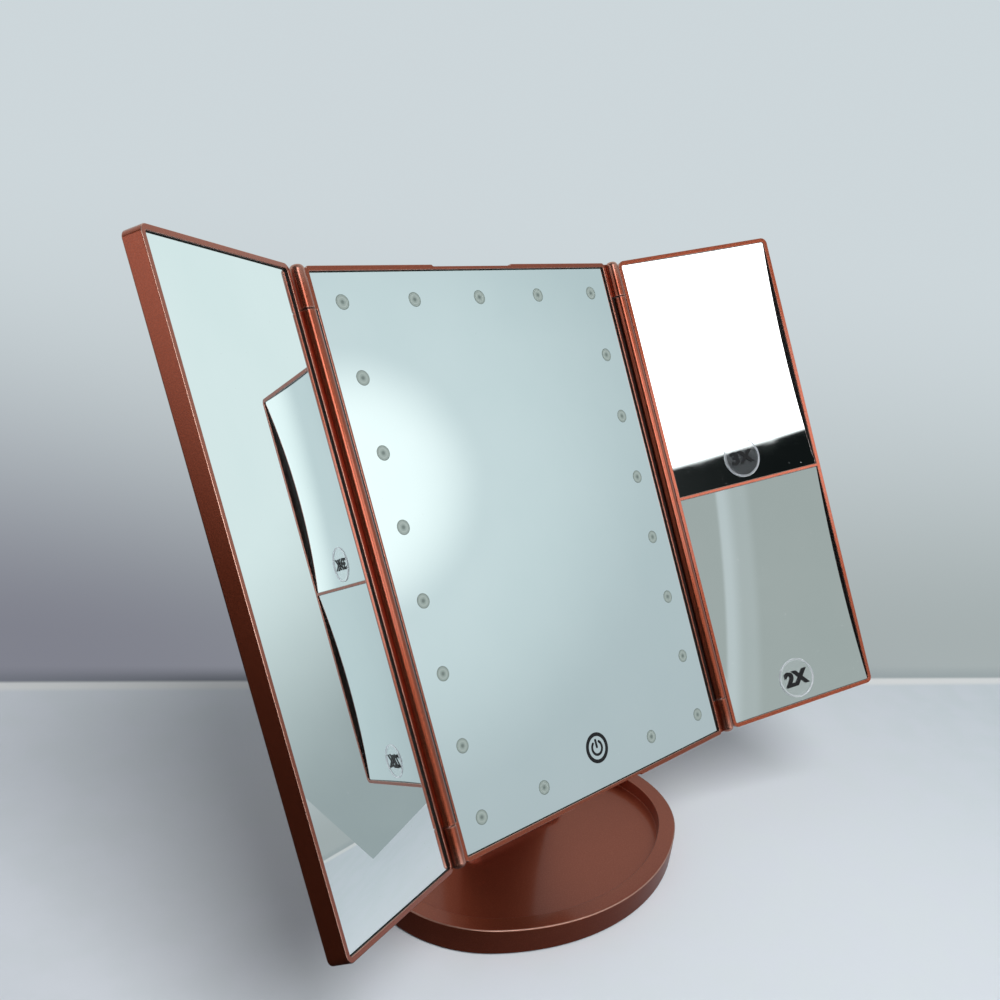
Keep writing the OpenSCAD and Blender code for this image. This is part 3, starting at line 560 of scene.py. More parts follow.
# Centre frame: a moulded ring that holds the glass, sprayed rose gold. It has thin lips at its sides, a
# shallow finger notch in its top and bottom edges, and a domed hinge knuckle at each corner.
hinge_across, hinge_lift = 85.0, 0.6
barrel_radius, knuckle_length, knuckle_dome = 2.75, 16.0, 1.8
side_lip, end_rim, ledge_width, ledge_depth, ledge_thickness = 1.0, 2.0, 3.0, 4.0, 1.2
frame_corner = 1.2
notch_width, notch_depth, corner_radius = 42.0, 0.8, 3.0


def panel_outline(left, right, bottom, top, radius, notch=None):
    """A rectangle with round corners. A notch is its half width and how far up its flat lies."""
    radius = max(radius, 0.4)
    corners = (((right - radius, bottom + radius), -90), ((right - radius, top - radius), 0),
               ((left + radius, top - radius), 90), ((left + radius, bottom + radius), 180))
    made = []
    for number, (middle, start) in enumerate(corners):
        made += bend(middle, radius, start, start + 90, 8)
        if notch and number in (1, 3):
            sense = 1 if number == 1 else -1
            half, flat = notch
            depth = min(abs(top), flat)
            made += [(sense * across, sense * up) for across, up in
                     ((half + notch_depth, abs(top)), (half, depth), (-half, depth), (-half - notch_depth, abs(top)))]
    return made


def frame_outline(side, end):
    half_width, half_height = panel_width / 2 - side, panel_height / 2 - end
    return panel_outline(-half_width, half_width, -half_height, half_height, frame_corner - min(side, end),
                         (notch_width / 2, panel_height / 2 - notch_depth))


lip_round, back_round = 0.3, 0.6
# The lips' rounded edges are marked as rubbed, lightened as rubbed paint and a painted highlight. The inner walls and
# the ledge under the glass are marked -1, darkened to near black as bare plastic with painted shade in the gap round
# the glass.
frame_profile = [
    *edge((back_round, back_round), back_round - frame_depth, back_round, 270, 180),
    *edge((lip_round, lip_round), -lip_round, lip_round, 180, 90),
    *edge((side_lip - lip_round, end_rim - lip_round), -lip_round, lip_round, 90, 0, 0.8, 3),
    ((side_lip, end_rim), -0.5, -1), ((side_lip, end_rim), -ledge_depth, -1),
    ((side_lip + ledge_width, end_rim + ledge_width), -ledge_depth, -1),
    ((side_lip + ledge_width, end_rim + ledge_width), -ledge_depth - ledge_thickness, -1),
    ((side_lip + 0.6, end_rim), -ledge_depth - ledge_thickness, -1), ((side_lip + 0.6, end_rim), -frame_depth, -1)]
centre_frame = Mould().swept(frame_outline, frame_profile, loop=True)

# The knuckles' rims and the webs' rounded edges are marked as rubbed, which the paint shows as rubbed paint and a
# painted highlight.
knuckle = Mould().turned([
    (barrel_radius - 0.9, 0.0, 0), (barrel_radius - 0.25, 0.0, 0.6), (barrel_radius, 0.25, 0.6), (barrel_radius, 1.0, 0),
    *((barrel_radius - knuckle_dome + across, knuckle_length - knuckle_dome + up, 0.6)
      for across, up in bend((0, 0), knuckle_dome, 0, 90, 8))])
knuckle_stand = Matrix.Translation((hinge_across, panel_height / 2 - knuckle_length, hinge_lift)) @ Matrix.Rotation(
    math.radians(-90), 4, "X")
web_round = 0.3
knuckle_web = Mould().swept(
    lambda inset: panel_outline(panel_width / 2 - side_lip / 2 + inset, hinge_across - inset,
                                panel_height / 2 - knuckle_length + inset,
                                panel_height / 2 - 0.7 - inset, 0.5),
    [*edge((web_round,), web_round - 3.6, web_round, 270, 180), *edge((web_round,), -web_round, web_round, 180, 90)])
for across in (1, -1):
    for up in (1, -1):
        corner_flip = Matrix.Diagonal((across, up, 1, 1))
        centre_frame.add(knuckle, corner_flip @ knuckle_stand)
        centre_frame.add(knuckle_web, corner_flip)

# A trough behind each barrel closes the gap between the frame's side and the wing. Its hollow is marked -1 and turns
# near black: bare plastic with painted shade deep in the gap.
trough_inner, trough_back, trough_far = barrel_radius + 0.3, -5.6, 3.2
hollow = bend((0, 0), trough_inner, 195, 290, 12)
trough_outline = hollow + [(trough_far, trough_back - hinge_lift), (panel_width / 2 - hinge_across - 0.4, trough_back - hinge_lift),
                           (panel_width / 2 - hinge_across - 0.4, hollow[0][1])]
trough_marks_and_shade = [-1] * len(hollow) + [0, 0, -1]
trough_half = panel_height / 2 - knuckle_length
trough = Mould()
trough_rings = [trough.ring(trough_outline, end, trough_marks_and_shade) for end in (-trough_half, trough_half)]
trough.skin(trough_rings)
trough.faces += [tuple(trough_rings[0]), tuple(trough_rings[1])]
for across in (1, -1):
    centre_frame.add(trough, Matrix.Diagonal((across, 1, 1, 1)) @ Matrix.Translation((hinge_across, 0, hinge_lift))
                     @ Matrix.Rotation(math.radians(90), 4, "X"))
cast("centre_rim", centre_frame, panel_place, paint, "head", ["centre_frame"])


# Foam tape: white double-sided strips that bed the glass on the frame's ledge.
dress(finish("white_foam", foam(rgb(0.82, 0.82, 0.8), rgb(0.55, 0.55, 0.53), 0.0005)), "glass_tape", "left_tape",
      "right_pads")


# Touch pad: a disc of copper foil stuck behind the glass under the power mark.
def bare_foil(tree):
    creases = tree.cloud(500.0, 3.0)
    return {"Base Color": tree.tint(creases, rgb(0.55, 0.24, 0.1), rgb(0.8, 0.42, 0.22)), "Metallic": 1.0,
            "Roughness": 0.2 + 0.3 * creases, "Normal": tree.relief(creases, 0.00003)}


dress(finish("copper_foil", bare_foil), "touch_pad")


# Centre glass: float glass, silvered, with ground and polished edges. A few faint wipe marks and dust
# motes lie on it.
def silvered_glass(tree):
    wipes = tree.cloud(30.0, 4.0)
    motes = tree.cells(260.0).under(0.035)
    wear = tree.node("ShaderNodeAttribute", {"attribute_name": "wear"}, {}, out="Fac")
    ground = wear.ramp(0.1, 0.9)
    face = tree.tint(wipes, rgb(0.86, 0.9, 0.9), rgb(0.93, 0.95, 0.95))
    return {"Base Color": tree.tint(ground, face, rgb(0.5, 0.62, 0.58)),
            "Metallic": 1.0 - 0.6 * ground - 0.25 * motes,
            "Roughness": 0.008 + 0.015 * wipes.ramp(0.55, 0.8) + 0.25 * ground + 0.2 * motes}


silver = finish("silvered_glass", silvered_glass)
glass_fit, glass_sink, arris = 0.1, 1.0, 0.3


def glass_profile(sides, top, thickness):
    return [(sides, top - thickness, -1), (sides, top - arris, 1),
            (tuple(side + arris for side in sides), top, 1), (tuple(side + arris + 0.02 for side in sides), top, 0)]


centre_glass = Mould().swept(frame_outline, glass_profile((side_lip + glass_fit, end_rim + glass_fit), -glass_sink, 3.0))
cast("centre_glass", centre_glass, panel_place, silver, "head", ["centre_mirror"], flats=False)


# Light windows: 21 round windows etched through the silver, one over each diode. The bare frosted glass
# is grey-green, with the diode's spot in its middle and a dark outline painted as shade where the
# silver's cut edge meets it.
def window_spots(tree, sizes):
    columns, rows = 5, 8
    grid = tree.node("GeometryNodeMeshGrid", {}, {
        "Size X": (columns - 1) * sizes["Pitch across"], "Size Y": (rows - 1) * sizes["Pitch along"],
        "Vertices X": columns, "Vertices Y": rows})
    where = tree.node("GeometryNodeInputPosition")
    across = tree.node("ShaderNodeSeparateXYZ", {}, {0: where}, out="X") / sizes["Pitch across"]
    along = tree.node("ShaderNodeSeparateXYZ", {}, {0: where}, out="Y") / sizes["Pitch along"]
    off_middle = tree.node("ShaderNodeMath", {"operation": "ABSOLUTE"}, {0: across})
    kept = off_middle.above(1.5) + along.above(3.0) + along.under(-3.0) * off_middle.above(0.5)
    return tree.node("GeometryNodeDeleteGeometry", {}, {"Geometry": grid, "Selection": kept.under(0.5)}), (0, 0, 0)


def etched_glass(tree):
    middle = 1 - tree.node("ShaderNodeAttribute", {"attribute_name": "wear"}, {}, out="Fac")
    speckle = tree.cloud(3500.0, 2.0)
    ring = middle.ramp(0.5, 0.56) * (1 - middle.ramp(0.62, 0.68))
    # Painted shade: a dark outline at the window's edge, as the shade of the silver's cut edge.
    outline = middle.ramp(0.86, 0.93)
    die = 1 - middle.ramp(0.12, 0.4)
    tone = tree.tint(speckle, rgb(0.2, 0.245, 0.22), rgb(0.31, 0.36, 0.33))
    tone = tree.tint(0.45 * ring, tone, rgb(0.42, 0.47, 0.44))
    tone = tree.tint(0.75 * die, tone, rgb(0.07, 0.095, 0.085))
    return {"Base Color": tree.tint(0.7 * outline, tone, rgb(0.09, 0.115, 0.1)),
            "Roughness": 0.5 + 0.25 * speckle,
            "Coat Weight": 1.0,
            "Coat Roughness": 0.03,
            "Normal": tree.relief(speckle, 0.00002)}


window_radius, glass_thickness, proud = 2.9, 3.0, 0.02
window_disc = Mould().turned([(0.6, -glass_thickness, 0), (window_radius - 0.02, -glass_thickness, 0),
                              (window_radius - 0.02, -0.1, 0), (window_radius, 0.0, 0), (1.0, 0.0, 1 - 1 / window_radius),
                              (0.02, 0.0, 1)], 48)
etched = finish("etched_glass", etched_glass)
windows = planted("light_windows", window_disc, {"Pitch across": 34.0, "Pitch along": 28.2}, window_spots, etched)
finished("light_windows", placed(windows, panel_place @ Matrix.Translation((0, 0, (proud - glass_sink) * mm))), etched,
         "head", ["led_windows"], flats=False)


# Touch mark: a ring round a standby sign, screen printed in black on the glass over the copper pad.
def stroke(path, width, height, closed=False):
    """A flat line of print along a path, with round ends."""
    line = Mould()
    count = len(path)
    left, right = [], []
    for number, point in enumerate(path):
        before = path[number - 1] if closed or number else point
        after = path[(number + 1) % count] if closed or number + 1 < count else point
        along = (Vector(after) - Vector(before)).normalized() * width / 2
        left.append((point[0] - along.y, point[1] + along.x))
        right.append((point[0] + along.y, point[1] - along.x))
    if closed:
        rings = [line.ring(side, up) for side, up in ((left, 0), (left, height), (right, height), (right, 0))]
        line.skin(rings + rings[:1])
        return line
    ends = []
    for tip, inner in ((path[-1], path[-2]), (path[0], path[1])):
        heading = math.degrees(math.atan2(tip[1] - inner[1], tip[0] - inner[0]))
        ends.append(bend(tip, width / 2, heading - 90, heading + 90, 12)[1:-1])
    outline = right + ends[0] + left[::-1] + ends[1]
    rings = [line.ring(outline, up) for up in (0, height)]
    line.skin(rings)
    total = len(outline)
    tip_size, turn_back = len(ends[0]), count + len(ends[0]) + count - 1
    for ring in rings:
        for i in range(count - 1):
            line.faces.append((ring[i], ring[i + 1], ring[turn_back - i - 1], ring[turn_back - i]))
        line.faces.append(tuple(ring[count - 1:count + tip_size + 1]))
        line.faces.append(tuple(ring[turn_back:total] + ring[:1]))
    return line


def printed_black(tree):
    specks = tree.cloud(2600.0, 3.0)
    return {"Base Color": tree.tint(specks, rgb(0.004, 0.004, 0.005), rgb(0.02, 0.02, 0.021)),
            "Roughness": 0.3 + 0.25 * specks, "Specular IOR Level": 0.12, "Normal": tree.relief(specks, 0.000008)}


black_print = finish("black_print", printed_black)
touch_radius, touch_band, sign_line, print_height = 6.5, 1.6, 1.1, 0.04
sign_radius = 0.53 * touch_radius
ring_middle = touch_radius - touch_band / 2
touch_mark = stroke(bend((0, 0), ring_middle, 0, 354, 59), touch_band, print_height, closed=True)
touch_mark.add(stroke(bend((0, 0), sign_radius - sign_line / 2, 90 + 38, 450 - 38, 40), sign_line, print_height))
touch_mark.add(stroke([(0, 0.35), (0, 1.5), (0, sign_radius - 0.1)], sign_line, print_height))
touch_height = -panel_height / 2 + end_rim + 17
cast("touch_mark", touch_mark, panel_place @ Matrix.Translation(Vector((0, touch_height, proud - glass_sink)) * mm),
     black_print, "head", ["touch_icon"])


# Cover screws: four countersunk steel screws with cross recesses, sunk in the back cover's corners.
def cross(half_arm, half_width):
    """A plus-shaped outline with as many points as the screw's head, on the same headings."""
    points = []
    for turn in range(0, 360, 5):
        heading = math.radians(turn)
        along, beside = abs(math.cos(heading)), abs(math.sin(heading))
        far, near = max(along, beside), min(along, beside)
        reach = min(half_arm / far, half_width / near if near > 1e-6 else half_arm / far)
        if near * half_arm / far > half_width and far * half_width / near > half_arm:
            reach = math.hypot(half_width, half_width)
        points.append((reach * math.cos(heading), reach * math.sin(heading)))
    return points


head_radius, recess = 2.0, 0.7
screw = Mould()
screw_rings = [screw.ring(bend((0, 0), 1.0, 0, 355, 71), 1.0), screw.ring(bend((0, 0), head_radius, 0, 355, 71), 0.0, 0.4),
               screw.ring(bend((0, 0), head_radius - 0.1, 0, 355, 71), -0.06, 0.8), screw.ring(cross(1.15, 0.3), -0.1, 0.8),
               screw.ring(cross(1.0, 0.2), recess, -0.5)]
screw.skin(screw_rings)
screw.faces += [tuple(screw_rings[0]), tuple(screw_rings[-1])]


def corner_spots(tree, sizes):
    grid = tree.node("GeometryNodeMeshGrid", {}, {
        "Size X": sizes["Distance across"], "Size Y": sizes["Distance along"], "Vertices X": 2, "Vertices Y": 2})
    return grid, (0, 0, 0.6)


screws = planted("cover_screw_heads", screw, {"Distance across": 149.0, "Distance along": 211.0}, corner_spots, steel)
finished("cover_screw_heads", placed(screws, panel_place @ Matrix.Translation((0, 0, -frame_depth * mm))), steel, "head",
         ["cover_screws"])


# Left wing: a moulded tray, its hinge barrel and the web between them in one piece, sprayed rose gold.
# The flat mirror lies sunk between the tray's rims.
wing_near, wing_reach, wing_depth, hinge_rim, wing_floor = 3.7, 84.6, 7.2, 1.8, 1.6
barrel_half, pin_radius, web_top, web_bottom = 95.7, 1.1, -1.4, -2.75
wing_front, wing_back = -hinge_lift, -hinge_lift - wing_depth


def wing_outline(hinge_inset, inset):
    return panel_outline(wing_near + hinge_inset, wing_reach - inset, -panel_height / 2 + inset,
                         panel_height / 2 - inset, corner_radius - inset)


def rims(near, far, radius, start, end, height, wear=1.0, steps=5):
    return edge((near, far), height, radius, start, end, wear, steps)


# The lips' rounded edges are marked as rubbed, lightened as rubbed paint and a painted highlight; the inner walls round
# the glass are marked -1, darkened to near black as bare plastic with painted shade.
wing_profile = [
    *rims(back_round, back_round, back_round, 270, 180, wing_back + back_round),
    *rims(lip_round, lip_round, lip_round, 180, 90, wing_front - lip_round),
    *rims(hinge_rim - lip_round, end_rim - lip_round, lip_round, 90, 0, wing_front - lip_round, 0.8, 3),
    ((hinge_rim, end_rim), wing_front - 0.5, -1), ((hinge_rim, end_rim), wing_back + wing_floor, -1)]
wing_shell = Mould().swept(wing_outline, wing_profile)
# The barrel's rounded ends and the web's edges are marked as rubbed, shown as rubbed paint and a painted highlight.
barrel = Mould().turned([
    (pin_radius, -barrel_half, 0), (barrel_radius - 0.25, -barrel_half, 0.6), (barrel_radius, 0.25 - barrel_half, 0.6),
    (barrel_radius, 1 - barrel_half, 0), (barrel_radius, barrel_half - 1, 0), (barrel_radius, barrel_half - 0.25, 0.6),
    (barrel_radius - 0.25, barrel_half, 0.6), (pin_radius, barrel_half, 0)])
wing_shell.add(barrel, Matrix.Rotation(math.radians(90), 4, "X"))
wing_shell.add(Mould().swept(
    lambda inset: panel_outline(1.0, wing_near + hinge_rim / 2, inset - barrel_half, barrel_half - inset, 0.4),
    [*edge((web_round,), web_bottom + web_round, web_round, 270, 180),
     *edge((web_round,), web_top - web_round, web_round, 180, 90)]))
hinge_point = Matrix.Translation(Vector((hinge_across, 0, hinge_lift)) * mm)
left_place = panel_place @ Matrix.Diagonal((-1, 1, 1, 1)) @ hinge_point @ Matrix.Rotation(math.radians(-27), 4, "Y")
cast("left_wing_tray", wing_shell, left_place, paint, "left_wing", ["left_tray"])

wing_glass = Mould().swept(wing_outline, glass_profile((hinge_rim + glass_fit, end_rim + glass_fit),
                                                       wing_front - glass_sink, 2.0))
cast("left_glass", wing_glass, left_place, silver, "left_wing", ["left_mirror"], flats=False)


# Right wing: the same tray with a thin bar across it, which parts the two magnifiers.
right_place = panel_place @ hinge_point @ Matrix.Rotation(math.radians(-24.5), 4, "Y")
bar_middle, bar_half = -0.6, 0.8
bar_left, bar_right = wing_near + hinge_rim - 0.5, wing_reach - end_rim + 0.5
# The bar's sides are marked -1 and -0.6, darkened as bare plastic with painted shade; its rounded top edge is marked as
# rubbed, shown as rubbed paint and a painted highlight.
wing_shell.add(Mould().swept(
    lambda inset: panel_outline(bar_left, bar_right, bar_middle - bar_half + inset, bar_middle + bar_half - inset, 0.4),
    [((0,), wing_back + wing_floor, -1), ((0,), wing_front - 0.6, -0.6),
     *edge((lip_round,), wing_front - lip_round, lip_round, 180, 90)]))
cast("right_wing_tray", wing_shell, right_place, paint, "right_wing", ["right_tray"])


# Magnifiers: thin acrylic pressed to a sphere and silvered. Each is a plate with a fine grid of faces
# that a Geometry Nodes tree bends.
class Dish:
    """A magnifier's rectangle, and the sphere that its front follows."""

    def __init__(self, radius, low, high):
        self.radius = radius
        self.left, self.right = wing_near + hinge_rim, wing_reach - end_rim
        self.low, self.high = low, high
        self.middle = ((self.left + self.right) / 2, (low + high) / 2)
        corner = math.hypot((self.right - self.left) / 2, (high - low) / 2)
        self.centre_height = wing_front - 0.6 * glass_sink + math.sqrt(radius ** 2 - corner ** 2)

    def height(self, x, y):
        away = math.hypot(x - self.middle[0], y - self.middle[1])
        return self.centre_height - math.sqrt(self.radius ** 2 - away ** 2)

    def laid(self, mould, x, y, proud):
        """Sets a mould on the dish at a point, following its slope."""
        mould.points = [Vector((p.x + x, p.y + y, p.z + proud + self.height(p.x + x, p.y + y))) for p in mould.points]
        return mould


def pressed(name, dish, place):
    """The dish as a plate, bent by a Geometry Nodes tree."""
    sizes = {"Across": dish.right - dish.left - 2 * glass_fit, "Along": dish.high - dish.low - 2 * glass_fit,
             "Thickness": 1.5, "Radius": dish.radius, "Centre height": dish.centre_height}

    def bent_plate(tree, size):
        plate = tree.node("GeometryNodeMeshCube", {}, {
            "Size": tree.node("ShaderNodeCombineXYZ", {}, {0: size["Across"], 1: size["Along"], 2: size["Thickness"]}),
            "Vertices X": 61, "Vertices Y": 87, "Vertices Z": 2})
        where = tree.node("GeometryNodeInputPosition")
        away = tree.node("ShaderNodeVectorMath", {"operation": "LENGTH"}, {
            0: tree.node("ShaderNodeVectorMath", {"operation": "MULTIPLY"}, {0: where, 1: (1, 1, 0)})}, out="Value")
        front = size["Centre height"] - (size["Radius"] * size["Radius"] - away * away) ** 0.5
        lift = tree.node("ShaderNodeCombineXYZ", {}, {2: front - 0.5 * size["Thickness"]})
        return tree.node("GeometryNodeSetPosition", {}, {"Geometry": plate, "Offset": lift})

    mesh = grown(name, sizes, bent_plate, silver)
    return placed(mesh, place @ Matrix.Translation(Vector((*dish.middle, 0)) * mm))


bar_low, bar_high = bar_middle - bar_half, bar_middle + bar_half
dish_3x = Dish(750.0, bar_high, panel_height / 2 - end_rim)
dish_2x = Dish(1000.0, end_rim - panel_height / 2, bar_low)
finished("magnifier_3x", pressed("magnifier_3x", dish_3x, right_place), silver, "right_wing", ["mirror_3x"],
         flats=False)
finished("magnifier_2x", pressed("magnifier_2x", dish_2x, right_place), silver, "right_wing", ["mirror_2x"],
         flats=False)


# Magnification marks: clear domed stickers with a bead round the rim and a plain black number printed
# on the face. The mirror doubles the print.
def clear_film(tree):
    haze = tree.cloud(900.0, 2.0)
    # Painted highlight: the bead's two rings are painted pale and nearly opaque, where a clear bead would catch the
    # light.
    rim_highlight = tree.node("ShaderNodeAttribute", {"attribute_name": "wear"}, {}, out="Fac").ramp(0.35, 0.95)
    return {"Base Color": tree.tint(haze, rgb(0.72, 0.75, 0.82), rgb(0.95, 0.96, 0.98)),
            "Roughness": 0.04 + 0.06 * haze,
            "Alpha": 0.02 + 0.01 * haze + 0.7 * rim_highlight,
            "Normal": tree.relief(haze, 0.000004)}


film = finish("clear_film", clear_film)
mark_radius, mark_thickness = 9.5, 0.6


def sticker():
    """A disc with two rings round its rim, its moulded edge and the foot of the bead, marked so that the film paints
    them pale and nearly opaque as a painted highlight.
    """
    steps = ((8.0, 0.0, 0), (0.6, 0.0, 0), (0.05, 0.0, 1), (0.0, 0.2, 1), (0.12, 0.52, 1), (0.3, 0.6, 0.2), (0.55, 0.55, 0.3), (0.75, 0.42, 1),
             (0.95, 0.4, 0), (1.3, 0.4, 0), (5.0, 0.4, 0), (8.0, 0.4, 0))
    return Mould().turned([(mark_radius - inset, height, wear) for inset, height, wear in steps], 72)


def printed_number(name, text, width, height):
    """The number in the heavy built-in face, brought to a width and a height; its origin is its middle."""
    letters = bpy.data.curves.new(name, "FONT")
    letters.body = text
    letters.offset = 0.045
    letters.extrude = 0.02
    letters.resolution_u = 6
    carrier = bpy.data.objects.new(name, letters)
    bpy.context.scene.collection.objects.link(carrier)
    mesh = bpy.data.meshes.new_from_object(carrier.evaluated_get(bpy.context.evaluated_depsgraph_get()))
    bpy.data.objects.remove(carrier)
    xs = [v.co.x for v in mesh.vertices]
    ys = [v.co.y for v in mesh.vertices]
    stretch = Matrix.Diagonal((width / (max(xs) - min(xs)), height / (max(ys) - min(ys)), 1, 1))
    mesh.transform(stretch @ Matrix.Translation((-(max(xs) + min(xs)) / 2, -(max(ys) + min(ys)) / 2, 0)))
    return mesh


mark_across = 44.0
for name, dish, width, height in (("3x", dish_3x, 12.5, 6.4), ("2x", dish_2x, 13.0, 7.5)):
    mark_up = dish.low + 11.5
    cast("sticker_" + name, dish.laid(sticker(), mark_across, mark_up, proud), right_place, film, "right_wing",
         ["mark_" + name], flats=False)
    number = printed_number("number_" + name, name.upper(), width, height)
    for vertex in number.vertices:
        x, y = vertex.co.x + mark_across, vertex.co.y + mark_up
        vertex.co = (x, y, vertex.co.z + dish.height(x, y) + mark_thickness)
    finished("number_" + name, placed(number, right_place), black_print, "right_wing", [], flats=False)


# Table and background: a pale smooth sheet. A fold runs across it behind the mirror, and past the fold
# its tone fades into the room's. Before the fold the sheet is painted lighter near the middle and darker
# to the left and right, as painted light; past the fold it is painted darker near the fold and to the
# left, as painted shade. Table and walls are the stage.
fold_normal, fold_away = Vector((0.529, 0.849, 0.0)), 0.160
room_tone = rgb(0.61, 0.675, 0.705)


def pale_sheet():
    material = bpy.data.materials.new("pale_sheet")
    material.use_nodes = True
    tree = Tree(material.node_tree)
    spot = tree.place()
    past = tree.node("ShaderNodeVectorMath", {"operation": "DOT_PRODUCT"}, {0: spot, 1: fold_normal}, out="Value") - fold_away
    along = tree.node("ShaderNodeSeparateXYZ", {}, {0: spot}, out="X")
    beyond = past.ramp(-0.002, 0.001)
    mottle = tree.cloud(45.0, 4.0)
    # Painted light: lighter near the middle, darker to the left and right.
    near = tree.tint(along.ramp(-0.35, 0.1), rgb(0.6, 0.64, 0.68), rgb(0.7, 0.74, 0.77))
    near = tree.tint(along.ramp(0.1, 0.4), near, rgb(0.6, 0.66, 0.69))
    near = tree.tint(0.3 * mottle.ramp(0.35, 0.65), near, rgb(0.7, 0.72, 0.79))
    # Painted shade: past the fold the tone is darker near the fold and to the left, lighter further away.
    foot = tree.tint(along.ramp(-0.1, 0.4), rgb(0.215, 0.222, 0.263), rgb(0.38, 0.43, 0.435))
    distance = past / (past + 0.45)
    far = tree.tint(distance.ramp(0.1, 0.85), foot, room_tone)
    tone = tree.tint(beyond, near, far)
    fold = past.ramp(-0.010, -0.004) * (1 - past.ramp(-0.001, 0.003))
    tone = tree.tint(fold, tone, rgb(0.78, 0.79, 0.78))
    sheet = tree.node("ShaderNodeBsdfPrincipled", {}, {
        "Base Color": tone, "Roughness": 0.55 + 0.1 * mottle, "Normal": tree.relief(mottle * (1 - beyond), 0.0002)})
    glow = tree.node("ShaderNodeEmission", {}, {"Color": far})
    shown = tree.node("ShaderNodeMixShader", {}, {0: past.ramp(0.0, 0.02), 1: sheet, 2: glow})
    unlit = tree.node("ShaderNodeEmission", {}, {"Color": rgb(0.02, 0.018, 0.018)})
    mirrored = tree.node("ShaderNodeLightPath", out="Is Glossy Ray")
    tree.node("ShaderNodeOutputMaterial", {}, {"Surface": tree.node("ShaderNodeMixShader", {}, {
        0: mirrored * (1 - along.ramp(-0.15, 0.25)), 1: shown, 2: unlit})})
    return material


def card(name, corners, material):
    """A flat stage piece with four corners, in metres."""
    mesh = bpy.data.meshes.new(name)
    mesh.from_pydata(corners, [], [(0, 1, 2, 3)])
    mesh.materials.append(material)
    piece = bpy.data.objects.new(name, mesh)
    bpy.context.scene.collection.objects.link(piece)
    return piece


reach = 12.0
card("table", [(-reach, -reach, 0), (reach, -reach, 0), (reach, reach, 0), (-reach, reach, 0)], pale_sheet())


# Walls: the mirrors show a corner of the room beside them, so its two walls are there for them alone.
# They glow with a tone that is painted darker towards the floor, as painted shade.
def pale_wall(name, low, high):
    material = bpy.data.materials.new(name)
    material.use_nodes = True
    tree = Tree(material.node_tree)
    up = tree.node("ShaderNodeSeparateXYZ", {}, {0: tree.place()}, out="Z")
    # Painted shade: the wall's tone is darker towards the floor and lighter higher up.
    tone = tree.tint(up.ramp(0.05, 0.27) + 0.1 * tree.cloud(16.0, 5.0), low, high)
    tree.node("ShaderNodeOutputMaterial", {}, {"Surface": tree.node("ShaderNodeEmission", {}, {"Color": tone})})
    return material


wall_corner = Vector((0.435, -0.028, 0))
wall_end = wall_corner + 2.4 * Vector((-0.860, 0.509, 0))
tall, low, turn_in = Vector((0, 0, 1.2)), Vector((0, 0, 0.38)), Vector((0, -0.12, 0))
shaded_wall_foot, lit_wall_top = rgb(0.30, 0.36, 0.37), rgb(0.73, 0.86, 0.86)
walls = [card("back_wall", [wall_end, wall_corner, wall_corner + tall, wall_end + tall],
              pale_wall("back_wall", shaded_wall_foot, lit_wall_top)),
         card("right_wall", [wall_corner, wall_corner + turn_in, wall_corner + turn_in + low, wall_corner + low],
              pale_wall("right_wall", shaded_wall_foot, lit_wall_top))]
for wall in walls:
    wall.visible_camera = False
    wall.visible_diffuse = False
    wall.visible_shadow = False


# Room: a plain pale room. What the mirrors show of it is a bright lamp cloth behind the camera, over
# darker parts of the studio.
world = bpy.data.worlds.new("room")
bpy.context.scene.world = world
world.use_nodes = True
room = Tree(world.node_tree)
heading = room.node("ShaderNodeTexCoord", out="Generated")


def patch(direction, inner, outer):
    """1 within an angle of a direction, and 0 outside a wider one, in degrees."""
    facing = room.node("ShaderNodeVectorMath", {"operation": "DOT_PRODUCT"}, {
        0: heading, 1: Vector(direction).normalized()}, out="Value")
    return facing.ramp(math.cos(math.radians(outer)), math.cos(math.radians(inner)))


x, y, z = (room.node("ShaderNodeSeparateXYZ", {}, {0: heading}, out=axis) for axis in "XYZ")
toward = y.under(-0.05)
across, rise = x / (-1 * y), z / (-1 * y)
glow_way = (0.577, -0.652, 0.492)
seen = room.tint(z.ramp(-0.1, 0.5), rgb(0.43, 0.49, 0.52), rgb(0.49, 0.6, 0.62))
seen = room.tint(z.ramp(0.3, 0.6) * y.ramp(-0.2, 0.1), seen, rgb(0.11, 0.115, 0.12))
leftward = room.tint(z.ramp(-0.02, 0.22) * (1 - z.ramp(0.3, 0.4)), rgb(0.06, 0.06, 0.062), rgb(1.15, 1.15, 1.15))
seen = room.tint((-1 * x).ramp(0.3, 0.7), seen, leftward)
seen = room.tint(patch((0.95, 0.0, 0.25), 10, 30), seen, rgb(0.62, 0.73, 0.74))
seen = room.tint(patch(glow_way, 6, 16), seen, rgb(0.62, 0.74, 0.76))
seen = room.tint(patch(glow_way, 2.5, 7), seen, rgb(0.96, 1.1, 1.1))
unlit = toward * across.ramp(-6.0, -3.0) * (1 - across.ramp(-0.12, -0.05)) * (1 - rise.ramp(0.9, 1.6))
seen = room.tint(unlit, seen, rgb(0.03, 0.032, 0.032))
foreground = toward * across.ramp(-0.3, -0.1) * (1 - across.ramp(0.5, 0.7)) * (1 - rise.ramp(0.26, 0.32))
sill = room.tint(rise.ramp(0.0, 0.2), rgb(0.03, 0.03, 0.03), rgb(1.0, 1.02, 1.02))
sill = room.tint(rise.ramp(0.15, 0.25), sill, rgb(2.4, 2.45, 2.45))
seen = room.tint(foreground, seen, sill)
beside = toward * across.ramp(-0.08, -0.05) * (1 - across.ramp(0.5, 0.6))
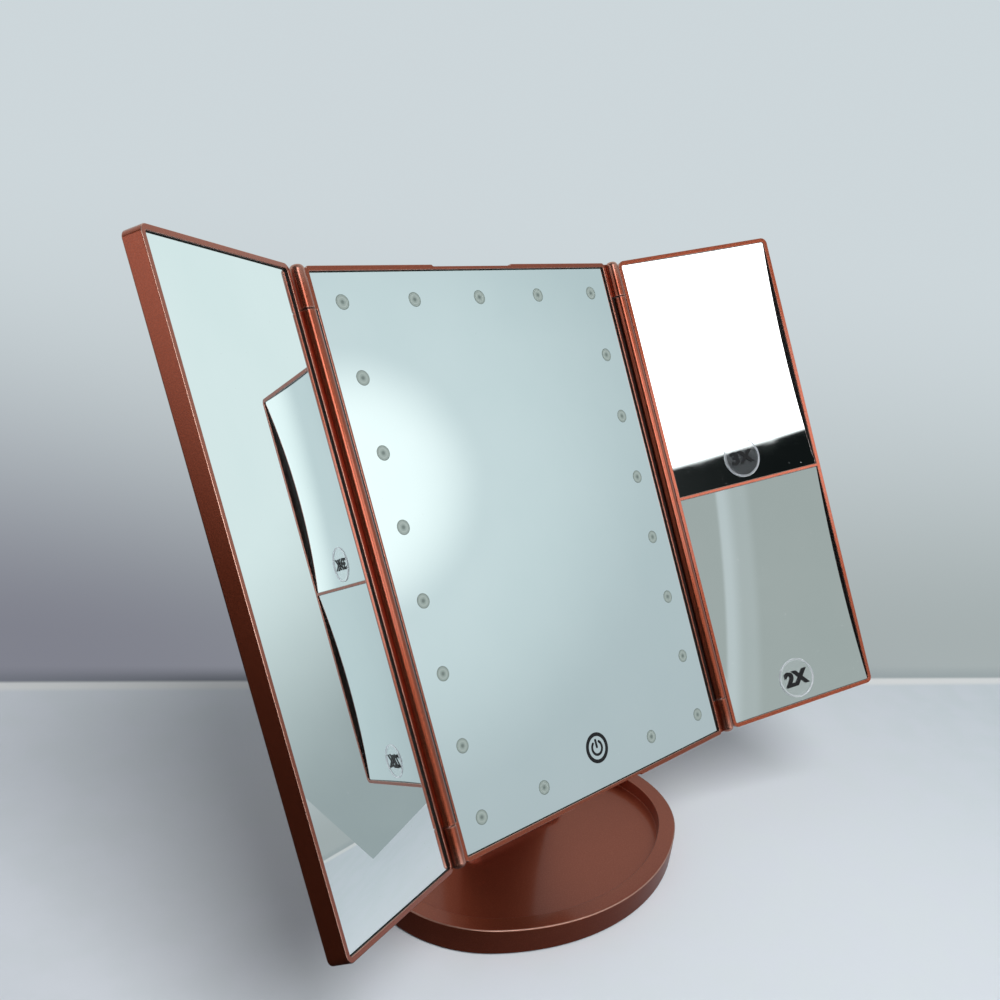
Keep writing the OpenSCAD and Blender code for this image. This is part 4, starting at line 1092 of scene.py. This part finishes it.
streak = (across.ramp(0.117, 0.1205) * (1 - across.ramp(0.1215, 0.1225))
          + 0.35 * across.ramp(0.112, 0.115) * (1 - across.ramp(0.117, 0.12)))
grey = room.tint(streak, rgb(0.37, 0.42, 0.41), rgb(0.52, 0.59, 0.6))
seen = room.tint(beside * (1 - rise.ramp(0.5, 0.53)) * rise.ramp(0.3, 0.4), seen, grey)
edge_rise = 0.7775 + 0.094 * across
band = room.tint(across.ramp(0.1, 0.35), rgb(0.006, 0.008, 0.008), rgb(0.05, 0.055, 0.055))
seen = room.tint(beside * (rise - edge_rise).ramp(-0.001, 0.002) * (1 - rise.ramp(0.86, 0.95)), seen, band)
seen = room.tint(beside * rise.ramp(0.52, 0.54) * (edge_rise - rise).ramp(-0.002, 0.001), seen, rgb(3.0, 3.1, 3.1))
lamp = toward * across.ramp(-0.8, -0.65) * (1 - across.ramp(-0.25, -0.2)) * rise.ramp(0.5, 0.6) * (1 - rise.ramp(1.2, 1.4))
seen = room.tint(lamp, seen, rgb(4.5, 4.6, 4.6))
bounced = room.node("ShaderNodeLightPath", out="Is Glossy Ray") + room.node("ShaderNodeLightPath", out="Is Transmission Ray")
mirrored = room.node("ShaderNodeBackground", {}, {"Color": seen, "Strength": 1.0})
straight = room.node("ShaderNodeLightPath", out="Is Camera Ray")
plain = room.node("ShaderNodeBackground", {}, {"Color": room_tone, "Strength": 1.0})
ambient = room.node("ShaderNodeBackground", {}, {"Color": rgb(0.6, 0.64, 0.68), "Strength": 0.5})
around = room.node("ShaderNodeMixShader", {}, {0: straight, 1: ambient, 2: plain})
around = room.node("ShaderNodeMixShader", {}, {0: bounced, 1: around, 2: mirrored})
room.node("ShaderNodeOutputWorld", {}, {"Surface": around})


# Key lamp: a large soft square above and behind the camera. The mirrors don't see it.
key_light = bpy.data.lights.new("key", "AREA")
key_light.energy = 25
key_light.size = 0.9
key = bpy.data.objects.new("key", key_light)
bpy.context.scene.collection.objects.link(key)
key.location = Vector((-0.35, -0.95, 1.45))
key.rotation_euler = (-key.location).to_track_quat("-Z", "Y").to_euler()
key.visible_glossy = False

bpy.context.scene.view_settings.view_transform = "Standard"
